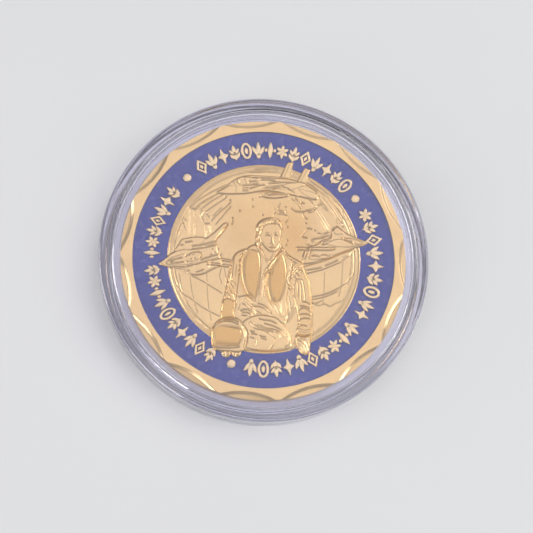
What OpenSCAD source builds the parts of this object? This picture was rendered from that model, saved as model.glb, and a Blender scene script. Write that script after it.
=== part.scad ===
// Challenge coin in a clear push-fit capsule.
// Origin: centre of the foot ring's underside. +Z up through the coin's face, +Y to the top of its design.

/* [Coin] */
// Diameter of the coin
coin_d = 40; // [38:0.5:44]
// Thickness of the coin over its rims
coin_t = 3; // [2.8:0.1:3.4]
// Number of scallop cuts round each rim
scallops = 15; // [12:1:18]
// Depth of the enamel pocket in the face
pocket_depth = 0.6; // [0.5:0.05:0.7]
// Thickness of the enamel
enamel_t = 0.3; // [0.2:0.05:0.35]
// How far the field inside the enamel ring lies below the rim
field_drop = 0.25; // [0.2:0.01:0.3]

/* [Capsule] */
// Thickness of the floor window and of the top window
window_t = 1.2; // [1:0.1:1.4]
// Height of the foot ring and of the raised rim that protect the windows
guard_h = 0.3; // [0.2:0.05:0.5]
// Radial play of the coin in its seat
seat_play = 0.15; // [0.1:0.05:0.2]
// Play of the coin under the top window
top_play = 0.2; // [0.15:0.05:0.3]
// Radial clearance on each side of the plug ring in its groove
plug_clearance = 0.05; // [0.03:0.01:0.08]
// Wall thickness of the seat ring and of the plug ring
ring_t = 0.9; // [0.8:0.05:1]
// Thickness of the base's outer wall
wall_t = 0.95; // [0.9:0.05:1.2]

/* [Hidden] */
$fn = 180;
EPS = 0.01;

GOLD = [0.88, 0.73, 0.48];
BLUE = [0.17, 0.2, 0.47];
CLEAR = [0.78, 0.78, 0.88, 0.4];

// Heights
floor_z = guard_h + window_t;
coin_z0 = floor_z;
coin_z1 = coin_z0 + coin_t;
lid_z = coin_z1 + top_play;
lid_top_z = lid_z + window_t;
capsule_h = lid_top_z + guard_h;
seam_z = capsule_h / 2;
seam_gap = 0.05;
seat_top_z = floor_z + 0.6 * coin_t;
plug_z = floor_z + 0.2;

// Radii
coin_r = coin_d / 2;
seat_r = coin_r + seat_play;
groove_r0 = seat_r + ring_t;
groove_r1 = groove_r0 + ring_t + 2 * plug_clearance;
capsule_r = groove_r1 + wall_t;
guard_r0 = capsule_r - 1.6;
guard_r1 = capsule_r - 0.5;
corner_r = 0.5;

// The design is drawn for a coin of 40 mm and scales with the coin
k = coin_r / 20;
ring_r0 = 13.55 * k;
ring_r1 = 18.35 * k;
motif_r = 15.7 * k;
motif_tall = 1.24;
back_field_r = 15 * k;
back_ring_r0 = 15.4 * k;
motif_top = coin_z1 - 0.05;
field_z = coin_z1 - field_drop;
pocket_z = coin_z1 - pocket_depth;
back_field_z = coin_z0 + field_drop;
back_pocket_z = coin_z0 + pocket_depth;

// Scallop cuts: a round cutter that stands outside the rim leaves a steep wall and a nearly flat ledge
cut_r = 10.9 * k;
cut_reach = 18.95 * k;
cut_x = cut_reach + cut_r;
cut_run = cut_r - (cut_x - coin_r);
cut_wall = 0.38 * k;
cut_step = 0.32 * k;
cut_depth = 0.4 * k;
first_cut = 18.4;

// Groups of ornaments round the ring: [from, to, how many], in degrees clockwise from the top
GROUPS = [[-37.7, 50, 14], [62.1, 110.5, 7], [111.6, 122.9, 2], [125.8, 190.3, 10], [205.6, 265.1, 10],
          [268.3, 308.2, 7]];
DOTS = [55.5, 196.9, 316];
// Pitch in degrees at which an ornament keeps its drawn width
drawn_pitch = 5.7;
// The order in which the seven ornaments follow one another
ORDER = [1, 3, 0, 6, 4, 2, 3, 5, 4];
BACK_LEAVES = 40;

// Outlines of the raised design, one point per corner, drawn for a coin of 40 mm
HEAD = [for (a = [0:15:345]) [0.45 + 1.75 * cos(a), 3.6 + 2.4 * sin(a)]];
FIGURE = [[-1.1, 2.6], [-2.8, 1.7], [-4.3, 1], [-5, -1.4], [-5.6, -4], [-6, -8], [-4.5, -8.2], [-1.2, -7.5],
          [1.3, -8.1], [2.8, -9.4], [4, -9.4], [3.9, -11.2], [4.6, -13.5], [6, -13.1], [6.4, -10.5],
          [6.3, -6], [6, -3], [5.2, -1.2], [4.2, 0.1], [2.6, 1.4], [2, 2.6], [0.5, 1.2]];
LEG = [[-2.6, -12.8], [-2.3, -9.8], [-1.4, -7.2], [1, -7.6], [2.5, -10.1], [3.4, -11.5], [3, -12.7],
       [0, -13.1]];
HELMET = [[-7.4, -9.6], [-6.8, -8.7], [-6, -8], [-4.6, -7.9], [-3.6, -8.3], [-3, -9.2], [-2.5, -10],
          [-2.4, -11], [-2.9, -12.1], [-3.7, -13.2], [-6.9, -12.8], [-7.6, -11.6]];
FINGERS = [[-5.3, -13.5], [-3.9, -13.45]];
TOP_JET = [[-6.8, 9.7], [-2.5, 9.7], [0, 9.2], [2.5, 9.1], [7, 8.7], [5, 10.3], [6.3, 13], [5.6, 13.3],
           [4.1, 11.2], [3.2, 11.5], [3.9, 14.1], [3.1, 14.2], [1.9, 11.8], [-2.6, 11.8], [-5, 10.9]];
LEFT_JET = [[-14.8, -0.6], [-13, 1], [-12.1, 1.4], [-11.8, 2.9], [-8.8, 3.2], [-5.8, 5.4], [-5.3, 5.2],
            [-7, 2.9], [-6.6, 0.6], [-5.8, -0.6], [-8, -1.5], [-10.2, -2.1], [-13, -1.1]];
RIGHT_JET = [[14.3, 2.4], [11, 4.1], [10, 4.9], [9.2, 4.4], [7, 2.9], [6.4, 2.2], [6.3, 0.4], [6.6, -1.5],
             [8, -1.2], [10.2, 0.3], [12.9, 1.6]];
// A plain five-pointed star with rounded-off proportions for the back
STAR = [for (i = [0:9]) (i % 2 == 0 ? 7.5 : 3.1) * [sin(36 * i), cos(36 * i)]];

// ---- helpers ----

// Points of a quarter round of radius r about c, from angle a0 to a1
function arc(c, r, a0, a1, steps = 4) =
    [for (i = [0:steps]) let (a = a0 + (a1 - a0) * i / steps) c + r * [cos(a), sin(a)]];

// Lays the flat drawing on the coin: a little to the right, and low, most of all on its left side
function settled(points) = [for (p = points) k * (p + [0.22, 0.025 * p[0] + 0.001 * p * p - 0.45])];

// Bends an outline drawn upright about the origin round the coin, at the ornaments' radius, $wide times as wide
function bent(points) = [for (p = points) let (a = p[0] * $wide * k / motif_r * 180 / PI)
    (motif_r + p[1] * motif_tall * k) * [sin(a), cos(a)]];

// Almond leaf of length l and width w, its foot at p, leaning a degrees clockwise from upright
function leaf(p, l, w, a = 0, n = 6) = [for (i = [0:2 * n - 1])
    let (t = i <= n ? i / n : 2 - i / n, side = i <= n ? 1 : -1, x = side * w / 2 * sin(180 * t), y = l * t)
    p + [x * cos(a) + y * sin(a), y * cos(a) - x * sin(a)]];

// Ellipse about p with half-axes a and b
function oval(p, a, b, n = 20) = [for (i = [0:n - 1]) p + [a * cos(360 * i / n), b * sin(360 * i / n)]];

// Star with n points about p
function spark(p, r0, r1, stretch, n = 4) = [for (i = [0:2 * n - 1])
    let (a = 180 * i / n, r = i % 2 == 0 ? r0 : r1) p + r * [sin(a), stretch * cos(a)]];

// Upright solid over an outline, from z0 to z1
module slab(points, z0, z1) {
    translate([0, 0, z0]) linear_extrude(height = z1 - z0) polygon(points);
}

// Flat ring
module ring(r0, r1, z0, z1) {
    translate([0, 0, z0]) difference() {
        cylinder(r = r1, h = z1 - z0);
        translate([0, 0, -EPS]) cylinder(r = r0, h = z1 - z0 + 2 * EPS);
    }
}

// ---- ornaments of the enamel ring: none is a letter ----

// Holes that ornament number n encloses
function holes(n) = n == 1 ? [oval([0, 0], 0.42, 0.72)] : n == 2 ? [spark([0, 0], 0.46, 0.32, 1.35)] : [];

// Solid outlines of ornament number n, with its holes filled
function outlines(n) =
    n == 0 ? [leaf([0, -0.97], 1.94, 0.6), oval([0.56, 0], 0.16, 0.2, 14), oval([-0.56, 0], 0.16, 0.2, 14)]
    : n == 1 ? [oval([0, 0], 0.68, 0.97)]
    : n == 2 ? [spark([0, 0], 0.72, 0.5, 1.35)]
    : n == 3 ? [leaf([0, -0.75], 1.72, 0.5), leaf([0.1, -0.68], 1.3, 0.42, 30),
                leaf([-0.1, -0.68], 1.3, 0.42, -30), oval([0, -0.71], 0.27, 0.31, 16)]
    : n == 4 ? [leaf([0, -0.97], 1.1, 0.3), leaf([0, -0.15], 1.12, 0.42), leaf([0.05, -0.75], 0.95, 0.36, 42),
                leaf([-0.05, -0.75], 0.95, 0.36, -42), leaf([0.05, -0.15], 0.85, 0.34, 44),
                leaf([-0.05, -0.15], 0.85, 0.34, -44), oval([0, -0.09], 0.18, 0.21, 14)]
    : n == 5 ? [spark([0, 0], 0.7, 0.3, 1.38)]
    : concat([for (a = [0:60:300]) leaf(0.1 * [sin(a), cos(a)], 0.72, 0.36, a)], [oval([0, 0], 0.2, 0.2, 12)]);

// Beads that stand in the holes
function beads(n) = n == 1 ? [oval([0, 0], 0.18, 0.36, 12)] : n == 2 ? [spark([0, 0], 0.2, 0.13, 1.5)] : [];

module ornament(n, z0, z1) {
    difference() {
        union() for (o = outlines(n)) slab(bent(o), z0, z1);
        for (h = holes(n)) slab(bent(h), z0 - EPS, z1 + EPS);
    }
    for (b = beads(n)) slab(bent(b), z0, z1);
}

// Puts one child at every ornament's place; $kind is the number of its ornament and $wide its width
module round_the_ring() {
    for (g = GROUPS, i = [0:g[2] - 1]) {
        pitch = (g[1] - g[0]) / g[2];
        $kind = ORDER[(i + round(g[1])) % len(ORDER)];
        $wide = pitch / drawn_pitch;
        rotate([0, 0, -(g[0] + pitch * (i + 0.5))]) children();
    }
}

module dots(z0, z1) {
    for (a = DOTS) rotate([0, 0, -a]) translate([0, motif_r, z0]) cylinder(r = 0.6 * k, h = z1 - z0);
}

module back_leaves(z0, z1) {
    for (i = [0:BACK_LEAVES - 1]) rotate([0, 0, 360 * i / BACK_LEAVES])
        slab([for (p = leaf([0, 0], 2, 0.75, 32)) k * (p + [-0.5, 16])], z0, z1);
}

// ---- the coin's raised design ----

module relief(z0) {
    for (o = [HEAD, FIGURE, LEG, HELMET]) slab(settled(o), z0, coin_z1);
    for (p = FINGERS) translate([k * p[0], k * p[1], z0]) cylinder(r = 0.65 * k, h = coin_z1 - z0);
    for (o = [TOP_JET, LEFT_JET, RIGHT_JET]) slab(settled(o), z0, coin_z1 - 0.08);
}

module scallop_cuts() {
    over = 0.2;
    cutter = [[0, -cut_depth], [cut_r - cut_run, -cut_depth], [cut_r - cut_wall, -cut_step],
              [cut_r + over * cut_wall / cut_step, over], [0, over]];
    for (i = [0:scallops - 1]) rotate([0, 0, 90 - first_cut - 360 * i / scallops])
        translate([cut_x, 0, coin_z1]) rotate_extrude() polygon(cutter);
}

// ---- sub-parts ----

module coin_body() {
    blank = [[0, back_field_z], [back_field_r, back_field_z], [back_field_r, coin_z0],
             [back_ring_r0, coin_z0], [back_ring_r0, back_pocket_z], [ring_r1, back_pocket_z],
             [ring_r1, coin_z0], [coin_r, coin_z0], [coin_r, coin_z1], [ring_r1, coin_z1],
             [ring_r1, pocket_z], [ring_r0, pocket_z], [ring_r0, field_z], [0, field_z]];
    color(GOLD) difference() {
        union() {
            rotate_extrude() polygon(blank);
            ring(12.35 * k, 12.75 * k, field_z - 0.1, coin_z1 - 0.12);
            relief(pocket_z - 0.1);
            round_the_ring() ornament($kind, pocket_z - 0.1, motif_top);
            dots(pocket_z - 0.1, motif_top);
            slab(k * STAR, coin_z0 + 0.05, back_field_z + 0.1);
            ring(9.6 * k, 10 * k, coin_z0 + 0.05, back_field_z + 0.1);
            back_leaves(coin_z0 + 0.05, back_pocket_z + 0.1);
        }
        scallop_cuts();
        translate([0, 0, coin_z0 + coin_z1]) rotate([180, 0, 2 * first_cut + 180 / scallops])
            scallop_cuts();
    }
}

module enamel_obverse() {
    color(BLUE) difference() {
        ring(ring_r0, ring_r1, pocket_z, pocket_z + enamel_t);
        relief(pocket_z - EPS);
        round_the_ring() for (o = outlines($kind)) slab(bent(o), pocket_z - EPS, motif_top);
        dots(pocket_z - EPS, motif_top);
    }
}

module enamel_obverse_pools() {
    color(BLUE) round_the_ring() for (h = holes($kind)) difference() {
        slab(bent(h), pocket_z, pocket_z + enamel_t);
        for (b = beads($kind)) slab(bent(b), pocket_z - EPS, motif_top);
    }
}

module enamel_reverse() {
    color(BLUE) difference() {
        ring(back_ring_r0, ring_r1, back_pocket_z - enamel_t, back_pocket_z);
        back_leaves(coin_z0, back_pocket_z + EPS);
    }
}

module capsule_base() {
    wall_z = seam_z - seam_gap / 2;
    profile = concat(
        [[0, guard_h], [guard_r0 - 0.2, guard_h], [guard_r0, 0]],
        arc([capsule_r - corner_r, corner_r], corner_r, -90, 0),
        [[capsule_r, wall_z - 0.1], [capsule_r - 0.1, wall_z], [groove_r1, wall_z], [groove_r1, floor_z]],
        [[groove_r0, floor_z], [groove_r0, seat_top_z], [seat_r, seat_top_z], [seat_r, floor_z]],
        [[0, floor_z]]);
    color(CLEAR) rotate_extrude() polygon(profile);
}

module capsule_lid() {
    wall_z = seam_z + seam_gap / 2;
    plug_r0 = groove_r0 + plug_clearance;
    plug_r1 = groove_r1 - plug_clearance;
    profile = concat(
        [[0, lid_z], [plug_r0, lid_z], [plug_r0, plug_z], [plug_r1, plug_z], [plug_r1, wall_z]],
        [[capsule_r - 0.1, wall_z], [capsule_r, wall_z + 0.1]],
        arc([capsule_r - corner_r, capsule_h - corner_r], corner_r, 0, 90),
        [[guard_r0, capsule_h], [guard_r0 - 0.2, lid_top_z], [0, lid_top_z]]);
    color(CLEAR) rotate_extrude() polygon(profile);
}

capsule_base();
coin_body();
enamel_obverse();
enamel_obverse_pools();
enamel_reverse();
capsule_lid();
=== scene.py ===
"""Challenge coin in a clear capsule: the looks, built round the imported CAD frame.

Outlines and sizes are in millimetres, and new_mesh() turns them into metres. Lamps and the camera are
placed in metres. +Y is the top of the coin's design, and +Z comes out of its face.
"""
import math

import bpy
import numpy as np
from mathutils import Matrix, Vector


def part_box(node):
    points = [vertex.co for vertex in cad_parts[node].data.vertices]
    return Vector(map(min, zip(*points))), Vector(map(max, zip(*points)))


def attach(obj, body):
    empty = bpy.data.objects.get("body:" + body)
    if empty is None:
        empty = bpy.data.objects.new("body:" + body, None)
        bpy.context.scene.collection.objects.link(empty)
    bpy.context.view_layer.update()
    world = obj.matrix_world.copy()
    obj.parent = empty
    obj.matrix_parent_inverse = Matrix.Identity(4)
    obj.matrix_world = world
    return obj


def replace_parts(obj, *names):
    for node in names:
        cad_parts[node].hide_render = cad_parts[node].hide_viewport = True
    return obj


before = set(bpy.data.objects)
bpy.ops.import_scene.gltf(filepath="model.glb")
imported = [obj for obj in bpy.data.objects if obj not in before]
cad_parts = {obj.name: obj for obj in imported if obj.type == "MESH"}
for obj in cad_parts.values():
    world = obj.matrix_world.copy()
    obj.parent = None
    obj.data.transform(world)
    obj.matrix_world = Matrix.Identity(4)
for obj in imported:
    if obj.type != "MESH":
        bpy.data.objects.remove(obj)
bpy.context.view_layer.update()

MM = 0.001


# ---------------------------------------------------------------- sizes, from the CAD frame

def box_mm(node):
    """The low and high corners of a node's box."""
    low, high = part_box(node)
    return np.array(low) / MM, np.array(high) / MM


COIN_LOW, COIN_HIGH = box_mm("coin_body")
POOL_LOW, POOL_HIGH = box_mm("enamel_obverse")
BACK_LOW, BACK_HIGH = box_mm("enamel_reverse")
BASE_TOP = box_mm("capsule_base")[1][2]
LID_LOW, LID_HIGH = box_mm("capsule_lid")

COIN_R = COIN_HIGH[0]
RING_R1 = POOL_HIGH[0]                     # outer edge of the enamel ring
RING_R0 = 0.6775 * COIN_R                  # and its inner edge
BACK_R0 = 0.77 * COIN_R                    # inner edge of the ring on the back
RIM_TOP, RIM_BOTTOM = COIN_HIGH[2], COIN_LOW[2]
FLOOR_TOP, ENAMEL_TOP = POOL_LOW[2], POOL_HIGH[2]
FLOOR_BACK, ENAMEL_BACK = BACK_HIGH[2], BACK_LOW[2]
FIELD_DROP = 0.25                          # field below the rim, on both faces
FIELD_TOP, FIELD_BACK = RIM_TOP - FIELD_DROP, RIM_BOTTOM + FIELD_DROP
CAPSULE_R = LID_HIGH[0]
CAPSULE_H = LID_HIGH[2]


# ---------------------------------------------------------------- curves and outlines

def spline(points, closed=False, per=6):
    """A smooth curve through the points (Catmull-Rom)."""
    p = np.array(points, float)
    n = len(p)
    if closed:
        q = np.concatenate([p[-1:], p, p[:2]])
    else:
        q = np.concatenate([2 * p[:1] - p[1:2], p, 2 * p[-1:] - p[-2:-1]])
    t = np.linspace(0, 1, per, endpoint=False)[:, None]
    out = []
    for i in range(n if closed else n - 1):
        a, b, c, d = q[i:i + 4]
        bend, twist = 2 * a - 5 * b + 4 * c - d, 3 * b - a - 3 * c + d
        out.append(0.5 * (2 * b + (c - a) * t + bend * t**2 + twist * t**3))
    if not closed:
        out.append(p[-1:])
    return np.concatenate(out)


def oval(cx, cy, rx, ry, turn=0.0, n=40):
    """Points of an ellipse, turned anticlockwise by turn degrees."""
    a = np.linspace(0, 2 * np.pi, n, endpoint=False)
    x, y = rx * np.cos(a), ry * np.sin(a)
    c, s = math.cos(math.radians(turn)), math.sin(math.radians(turn))
    return np.stack([cx + x * c - y * s, cy + x * s + y * c], 1)


def leaf(x, y, length, width, lean=0.0, n=9):
    """Almond leaf with its foot at (x, y), leaning clockwise from upright."""
    t = np.concatenate([np.linspace(0, 1, n), np.linspace(1, 0, n)[1:-1]])
    side = np.concatenate([np.ones(n), -np.ones(n - 2)])
    u, v = -side * width / 2 * np.sin(np.pi * t), length * t
    c, s = math.cos(math.radians(lean)), math.sin(math.radians(lean))
    return np.stack([x + u * c + v * s, y + v * c - u * s], 1)


def spark(r0, r1, stretch, n=4):
    """Pointed star about the origin."""
    i = np.arange(2 * n)
    a, r = -np.pi * i / n, np.where(i % 2 == 0, r0, r1)
    return np.stack([r * np.sin(a), stretch * r * np.cos(a)], 1)


# ---------------------------------------------------------------- meshes

def new_mesh(name, verts, faces, body, material, sharp=None):
    """A smooth-shaded object from millimetres, riding on a body."""
    mesh = bpy.data.meshes.new(name)
    mesh.from_pydata((np.asarray(verts, float) * MM).tolist(), [], [list(map(int, f)) for f in faces])
    mesh.validate()
    mesh.shade_smooth()
    if sharp is not None:
        mesh.set_sharp_from_angle(angle=math.radians(sharp))
    piece = bpy.data.objects.new(name, mesh)
    bpy.context.scene.collection.objects.link(piece)
    mesh.materials.append(material)
    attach(piece, body)
    return piece


def fillet(corners, segments=5, guard=0.06):
    """A closed profile with its corners rounded: each corner is (r, z, radius).

    A guard point either side of an arc keeps the flat faces' shading flat."""
    out = []
    n = len(corners)
    for i, (x, z, radius) in enumerate(corners):
        p = np.array([x, z])
        if radius <= 0:
            out.append(p)
            continue
        a = np.array(corners[i - 1][:2]) - p
        b = np.array(corners[(i + 1) % n][:2]) - p
        a, b = a / np.linalg.norm(a), b / np.linalg.norm(b)
        half = math.acos(np.clip(a @ b, -1, 1)) / 2
        reach = radius / math.tan(half)
        middle = p + (a + b) / np.linalg.norm(a + b) * radius / math.sin(half)
        start, end = p + a * reach - middle, p + b * reach - middle
        out.append(p + a * (reach + guard))
        turn = math.atan2(start[0] * end[1] - start[1] * end[0], start @ end)
        for k in range(segments + 1):
            c, s = math.cos(turn * k / segments), math.sin(turn * k / segments)
            out.append(middle + np.array([start[0] * c - start[1] * s, start[0] * s + start[1] * c]))
        out.append(p + b * (reach + guard))
    return out


def lathe(profile, steps):
    """Vertices and faces of a solid turned about Z; its (r, z) profile is closed and runs anticlockwise."""
    verts, rings = [], []
    for r, z in profile:
        if r < 1e-6:
            rings.append([len(verts)] * steps)
            verts.append((0, 0, z))
        else:
            rings.append(list(range(len(verts), len(verts) + steps)))
            for k in range(steps):
                a = 2 * math.pi * k / steps
                verts.append((r * math.cos(a), r * math.sin(a), z))
    faces = []
    for i, low in enumerate(rings):
        high = rings[(i + 1) % len(rings)]
        for k in range(steps):
            m = (k + 1) % steps
            quad = [low[k], low[m], high[m], high[k]]
            face = [v for j, v in enumerate(quad) if v != quad[j - 1]]
            if len(set(face)) >= 3:
                faces.append(face)
    return verts, faces


def inset(outline, by):
    """The outline moved inwards; it runs anticlockwise."""
    p = np.array(outline)
    a = p - np.roll(p, 1, 0)
    b = np.roll(p, -1, 0) - p
    na = np.stack([-a[:, 1], a[:, 0]], 1) / np.linalg.norm(a, axis=1)[:, None]
    nb = np.stack([-b[:, 1], b[:, 0]], 1) / np.linalg.norm(b, axis=1)[:, None]
    n = na + nb
    n /= np.linalg.norm(n, axis=1)[:, None]
    return p + n * by / np.clip((n * na).sum(1), 0.45, 1)[:, None]


def anticlockwise(p):
    """The outline p, turned round if it runs clockwise."""
    x, y = p[:, 0], p[:, 1]
    area = (x * np.roll(y, -1) - y * np.roll(x, -1)).sum()
    return p if area > 0 else p[::-1]


class Parts:
    """Closed solids gathered into one mesh."""

    def __init__(self):
        self.verts, self.faces = [], []

    def add(self, rings, hollow=False):
        """Stacks rings of equal length into a wall, bottom first, and closes its ends, or joins them."""
        start, n = len(self.verts), len(rings[0])
        for ring in rings:
            self.verts.extend(map(tuple, ring))
        last = len(rings) if hollow else len(rings) - 1
        for i in range(last):
            for k in range(n):
                a, b = start + i * n + k, start + i * n + (k + 1) % n
                j = (i + 1) % len(rings)
                c, d = start + j * n + (k + 1) % n, start + j * n + k
                self.faces.append((a, b, c, d))
        if not hollow:
            self.faces.append(tuple(start + k for k in reversed(range(n))))
            self.faces.append(tuple(start + (len(rings) - 1) * n + k for k in range(n)))


def at_height(outline, z):
    """The flat outline as 3-D points at height z."""
    return np.column_stack([outline, np.full(len(outline), z)])


# ---------------------------------------------------------------- ornaments of the enamel rings

ORNAMENT_R = 0.785 * COIN_R
# Groups round the ring: from, to, how many, in degrees clockwise from the top
GROUPS = [(-37.7, 50, 14), (62.1, 110.5, 7), (111.6, 122.9, 2), (125.8, 190.3, 10), (205.6, 265.1, 10),
          (268.3, 308.2, 7)]
DOTS = [55.5, 196.9, 316]                  # between the groups, in the same degrees
ORDER = [1, 3, 0, 6, 4, 2, 3, 5, 4]        # which ornaments follow each other
BACK_LEAVES = 40
DRAWN_PITCH = 5.7                          # pitch in degrees at which an ornament keeps its drawn width
TALL = 1.24                                # how much taller they stand than they are drawn
STOUT = 0.03                               # how much stouter the plated ornaments are than their pockets

# Each ornament: its solid outlines, and its rings as (outer, inner) pairs. None is a letter.
ORNAMENTS = {
    0: ([leaf(0, -0.97, 1.94, 0.6), oval(0.56, 0, 0.16, 0.2, n=20), oval(-0.56, 0, 0.16, 0.2, n=20)], []),
    1: ([oval(0, 0, 0.18, 0.36, n=20)], [(oval(0, 0, 0.68, 0.97), oval(0, 0, 0.42, 0.72))]),
    2: ([spark(0.2, 0.13, 1.5)], [(spark(0.72, 0.5, 1.35), spark(0.46, 0.32, 1.35))]),
    3: ([leaf(0, -0.75, 1.72, 0.5), leaf(0.1, -0.68, 1.3, 0.42, 30), leaf(-0.1, -0.68, 1.3, 0.42, -30),
         oval(0, -0.71, 0.27, 0.31, n=20)], []),
    4: ([leaf(0, -0.97, 1.1, 0.3), leaf(0, -0.15, 1.12, 0.42), leaf(0.05, -0.75, 0.95, 0.36, 42),
         leaf(-0.05, -0.75, 0.95, 0.36, -42), leaf(0.05, -0.15, 0.85, 0.34, 44),
         leaf(-0.05, -0.15, 0.85, 0.34, -44), oval(0, -0.09, 0.18, 0.21, n=16)], []),
    5: ([spark(0.7, 0.3, 1.38)], []),
    6: ([leaf(0.1 * math.sin(a), 0.1 * math.cos(a), 0.72, 0.36, math.degrees(a))
         for a in np.radians(range(0, 360, 60))] + [oval(0, 0, 0.2, 0.2, n=16)], []),
}


def dense(outline, step=0.12):
    """The outline with extra points along its straight sides, so that it can be bent."""
    out = []
    for p, q in zip(outline, np.roll(outline, -1, 0)):
        k = max(1, int(np.linalg.norm(q - p) / step))
        out.extend(p + (q - p) * i / k for i in range(k))
    return np.array(out)


def resampled(outline, n=48):
    """The outline with n points, evenly spaced along it."""
    p = np.concatenate([outline, outline[:1]])
    run = np.concatenate([[0], np.cumsum(np.linalg.norm(np.diff(p, axis=0), axis=1))])
    s = np.linspace(0, run[-1], n, endpoint=False)
    return np.stack([np.interp(s, run, p[:, 0]), np.interp(s, run, p[:, 1])], 1)


def placed(outline, degrees, r=ORNAMENT_R, wide=1.0, tall=1.0):
    """Bends an upright outline round the coin at radius r and turns it clockwise from the top."""
    p = dense(np.array(outline) * (wide, tall))
    a = p[:, 0] / r + math.radians(degrees)
    return anticlockwise(np.stack([(r + p[:, 1]) * np.sin(a), (r + p[:, 1]) * np.cos(a)], 1))


def ornament_outlines():
    """Each ornament's solid outlines and rings, in place, and as wide as its group's pitch lets it be."""
    for start, end, count in GROUPS:
        pitch = (end - start) / count
        for i in range(count):
            solids, rings = ORNAMENTS[ORDER[(i + math.floor(end + 0.5)) % len(ORDER)]]
            place = start + pitch * (i + 0.5), ORNAMENT_R, pitch / DRAWN_PITCH, TALL
            yield ([placed(outline, *place) for outline in solids],
                   [[placed(resampled(outline), *place) for outline in pair] for pair in rings])


def raised(parts, outline, low, high, bevel=0.05):
    """A solid over an outline, with a bevelled and slightly rounded top edge."""
    rings = [at_height(outline, low), at_height(outline, high - bevel)]
    for share in (0.35, 0.7, 1.0):
        rings.append(at_height(inset(outline, bevel * share), high - bevel * (1 - share) ** 1.6))
    parts.add(rings)


def raised_ring(parts, outer, inner, low, high, bevel=0.045):
    """The same for an outline with a hole; both outlines have the same number of points."""
    shoulder = high - 0.3 * bevel
    rings = [at_height(outer, low), at_height(outer, high - bevel),
             at_height(inset(outer, 0.5 * bevel), shoulder), at_height(inset(outer, bevel), high),
             at_height(inset(inner, -bevel), high), at_height(inset(inner, -0.5 * bevel), shoulder),
             at_height(inner, high - bevel), at_height(inner, low)]
    parts.add(rings, hollow=True)


def build_ornaments(gold):
    """The raised ornaments and dots of the front's enamel ring."""
    low, high = FLOOR_TOP - 0.1, RIM_TOP - 0.05
    parts = Parts()
    for solids, rings in ornament_outlines():
        for outline in solids:
            raised(parts, inset(outline, -STOUT), low, high)
        for outer, inner in rings:
            raised_ring(parts, inset(outer, -STOUT), inset(inner, STOUT), low, high)
    for degrees in DOTS:
        raised(parts, placed(oval(0, 0, 0.6, 0.6, n=48), degrees), low, high, 0.09)
    return new_mesh("coin_ornaments", parts.verts, parts.faces, "coin", gold, sharp=40)


def build_back_leaves(gold):
    """The raised leaves of the back's enamel ring, modelled face up and turned over."""
    parts = Parts()
    for i in range(BACK_LEAVES):
        outline = placed(leaf(-0.5, -1, 2, 0.75, 32), 360 * i / BACK_LEAVES, 0.85 * COIN_R)
        raised(parts, outline, -(FLOOR_BACK + 0.1), -(RIM_BOTTOM + 0.05))
    turned = [(-x, y, -z) for x, y, z in parts.verts]
    return new_mesh("coin_back_leaves", turned, parts.faces, "coin", gold, sharp=40)


def build_pools(enamel):
    """The small pools inside the ring-shaped ornaments, each a little hollow in its middle."""
    parts = Parts()
    low, high = FLOOR_TOP - 0.05, ENAMEL_TOP
    for _, rings in ornament_outlines():
        for _, outline in rings:
            middle = outline.mean(0)
            levels = [at_height(middle + (outline - middle) * 1.06, low)]
            for share, drop in ((1.06, 0), (0.93, 0.02), (0.7, 0.035), (0.4, 0.04)):
                levels.append(at_height(middle + (outline - middle) * share, high - drop))
            parts.add(levels)
    return new_mesh("enamel_obverse_small_pools", parts.verts, parts.faces, "coin", enamel)


def build_enamel_ring(name, r0, r1, low, high, enamel):
    """The enamel of a ring pocket: it climbs a little at the walls, as it dries."""
    rise, reach = 0.035, 0.15
    inner, outer = r0 - 0.12, r1 + 0.05    # both stand a little way into the metal
    profile = [(inner, low), (outer, low), (outer, high + rise), (r1 - 0.04, high + 0.8 * rise)]
    for s in (0.1, 0.2, 0.35, 0.6):
        profile.append((r1 - s, high + rise * math.exp(-s / reach) * 0.7))
    for s in (0.8, 0.5, 0.35, 0.2, 0.1, 0.03):
        profile.append((r0 + s, high + rise * math.exp(-s / reach) * 0.7))
    profile.append((inner, high + rise))
    verts, faces = lathe(profile, 360)
    return new_mesh(name, verts, faces, "coin", enamel, sharp=50)


# ---------------------------------------------------------------- the coin's blank

SCALLOPS = 15
FIRST_SCALLOP = 18.4                       # clockwise from the top
# A round cutter that stands outside the rim leaves a steep wall and then a nearly flat ledge
CUT_R = 0.545 * COIN_R
CUT_X = 0.9475 * COIN_R + CUT_R
WALL_RUN, WALL_DROP = 0.019 * COIN_R, 0.016 * COIN_R
CUT_RUN, CUT_DROP = 0.0525 * COIN_R, 0.02 * COIN_R


def off_middle(angle, offset):
    """Angle in radians to the middle of the nearest scallop; angle is anticlockwise from +X in degrees."""
    pitch = 360 / SCALLOPS
    away = (90 - angle - offset) % pitch
    return math.radians(min(away, pitch - away))


def cut_radius(run, away):
    """Radius at which the coin is run deep inside the cutter."""
    under = (CUT_R - run)**2 - (CUT_X * math.sin(away))**2
    return CUT_X * math.cos(away) - math.sqrt(under) if under > 0 else COIN_R


def cut_drop(r, away):
    """How far a scallop lies below the rim there; its corners are broken by 0.03 mm."""
    run = CUT_R - math.sqrt(r * r + CUT_X**2 - 2 * r * CUT_X * math.cos(away))
    runs = run + np.array([-0.03, -0.015, 0, 0.015, 0.03])
    return float(np.interp(runs, [0, WALL_RUN, CUT_RUN], [0, WALL_DROP, CUT_DROP]).mean())


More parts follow.
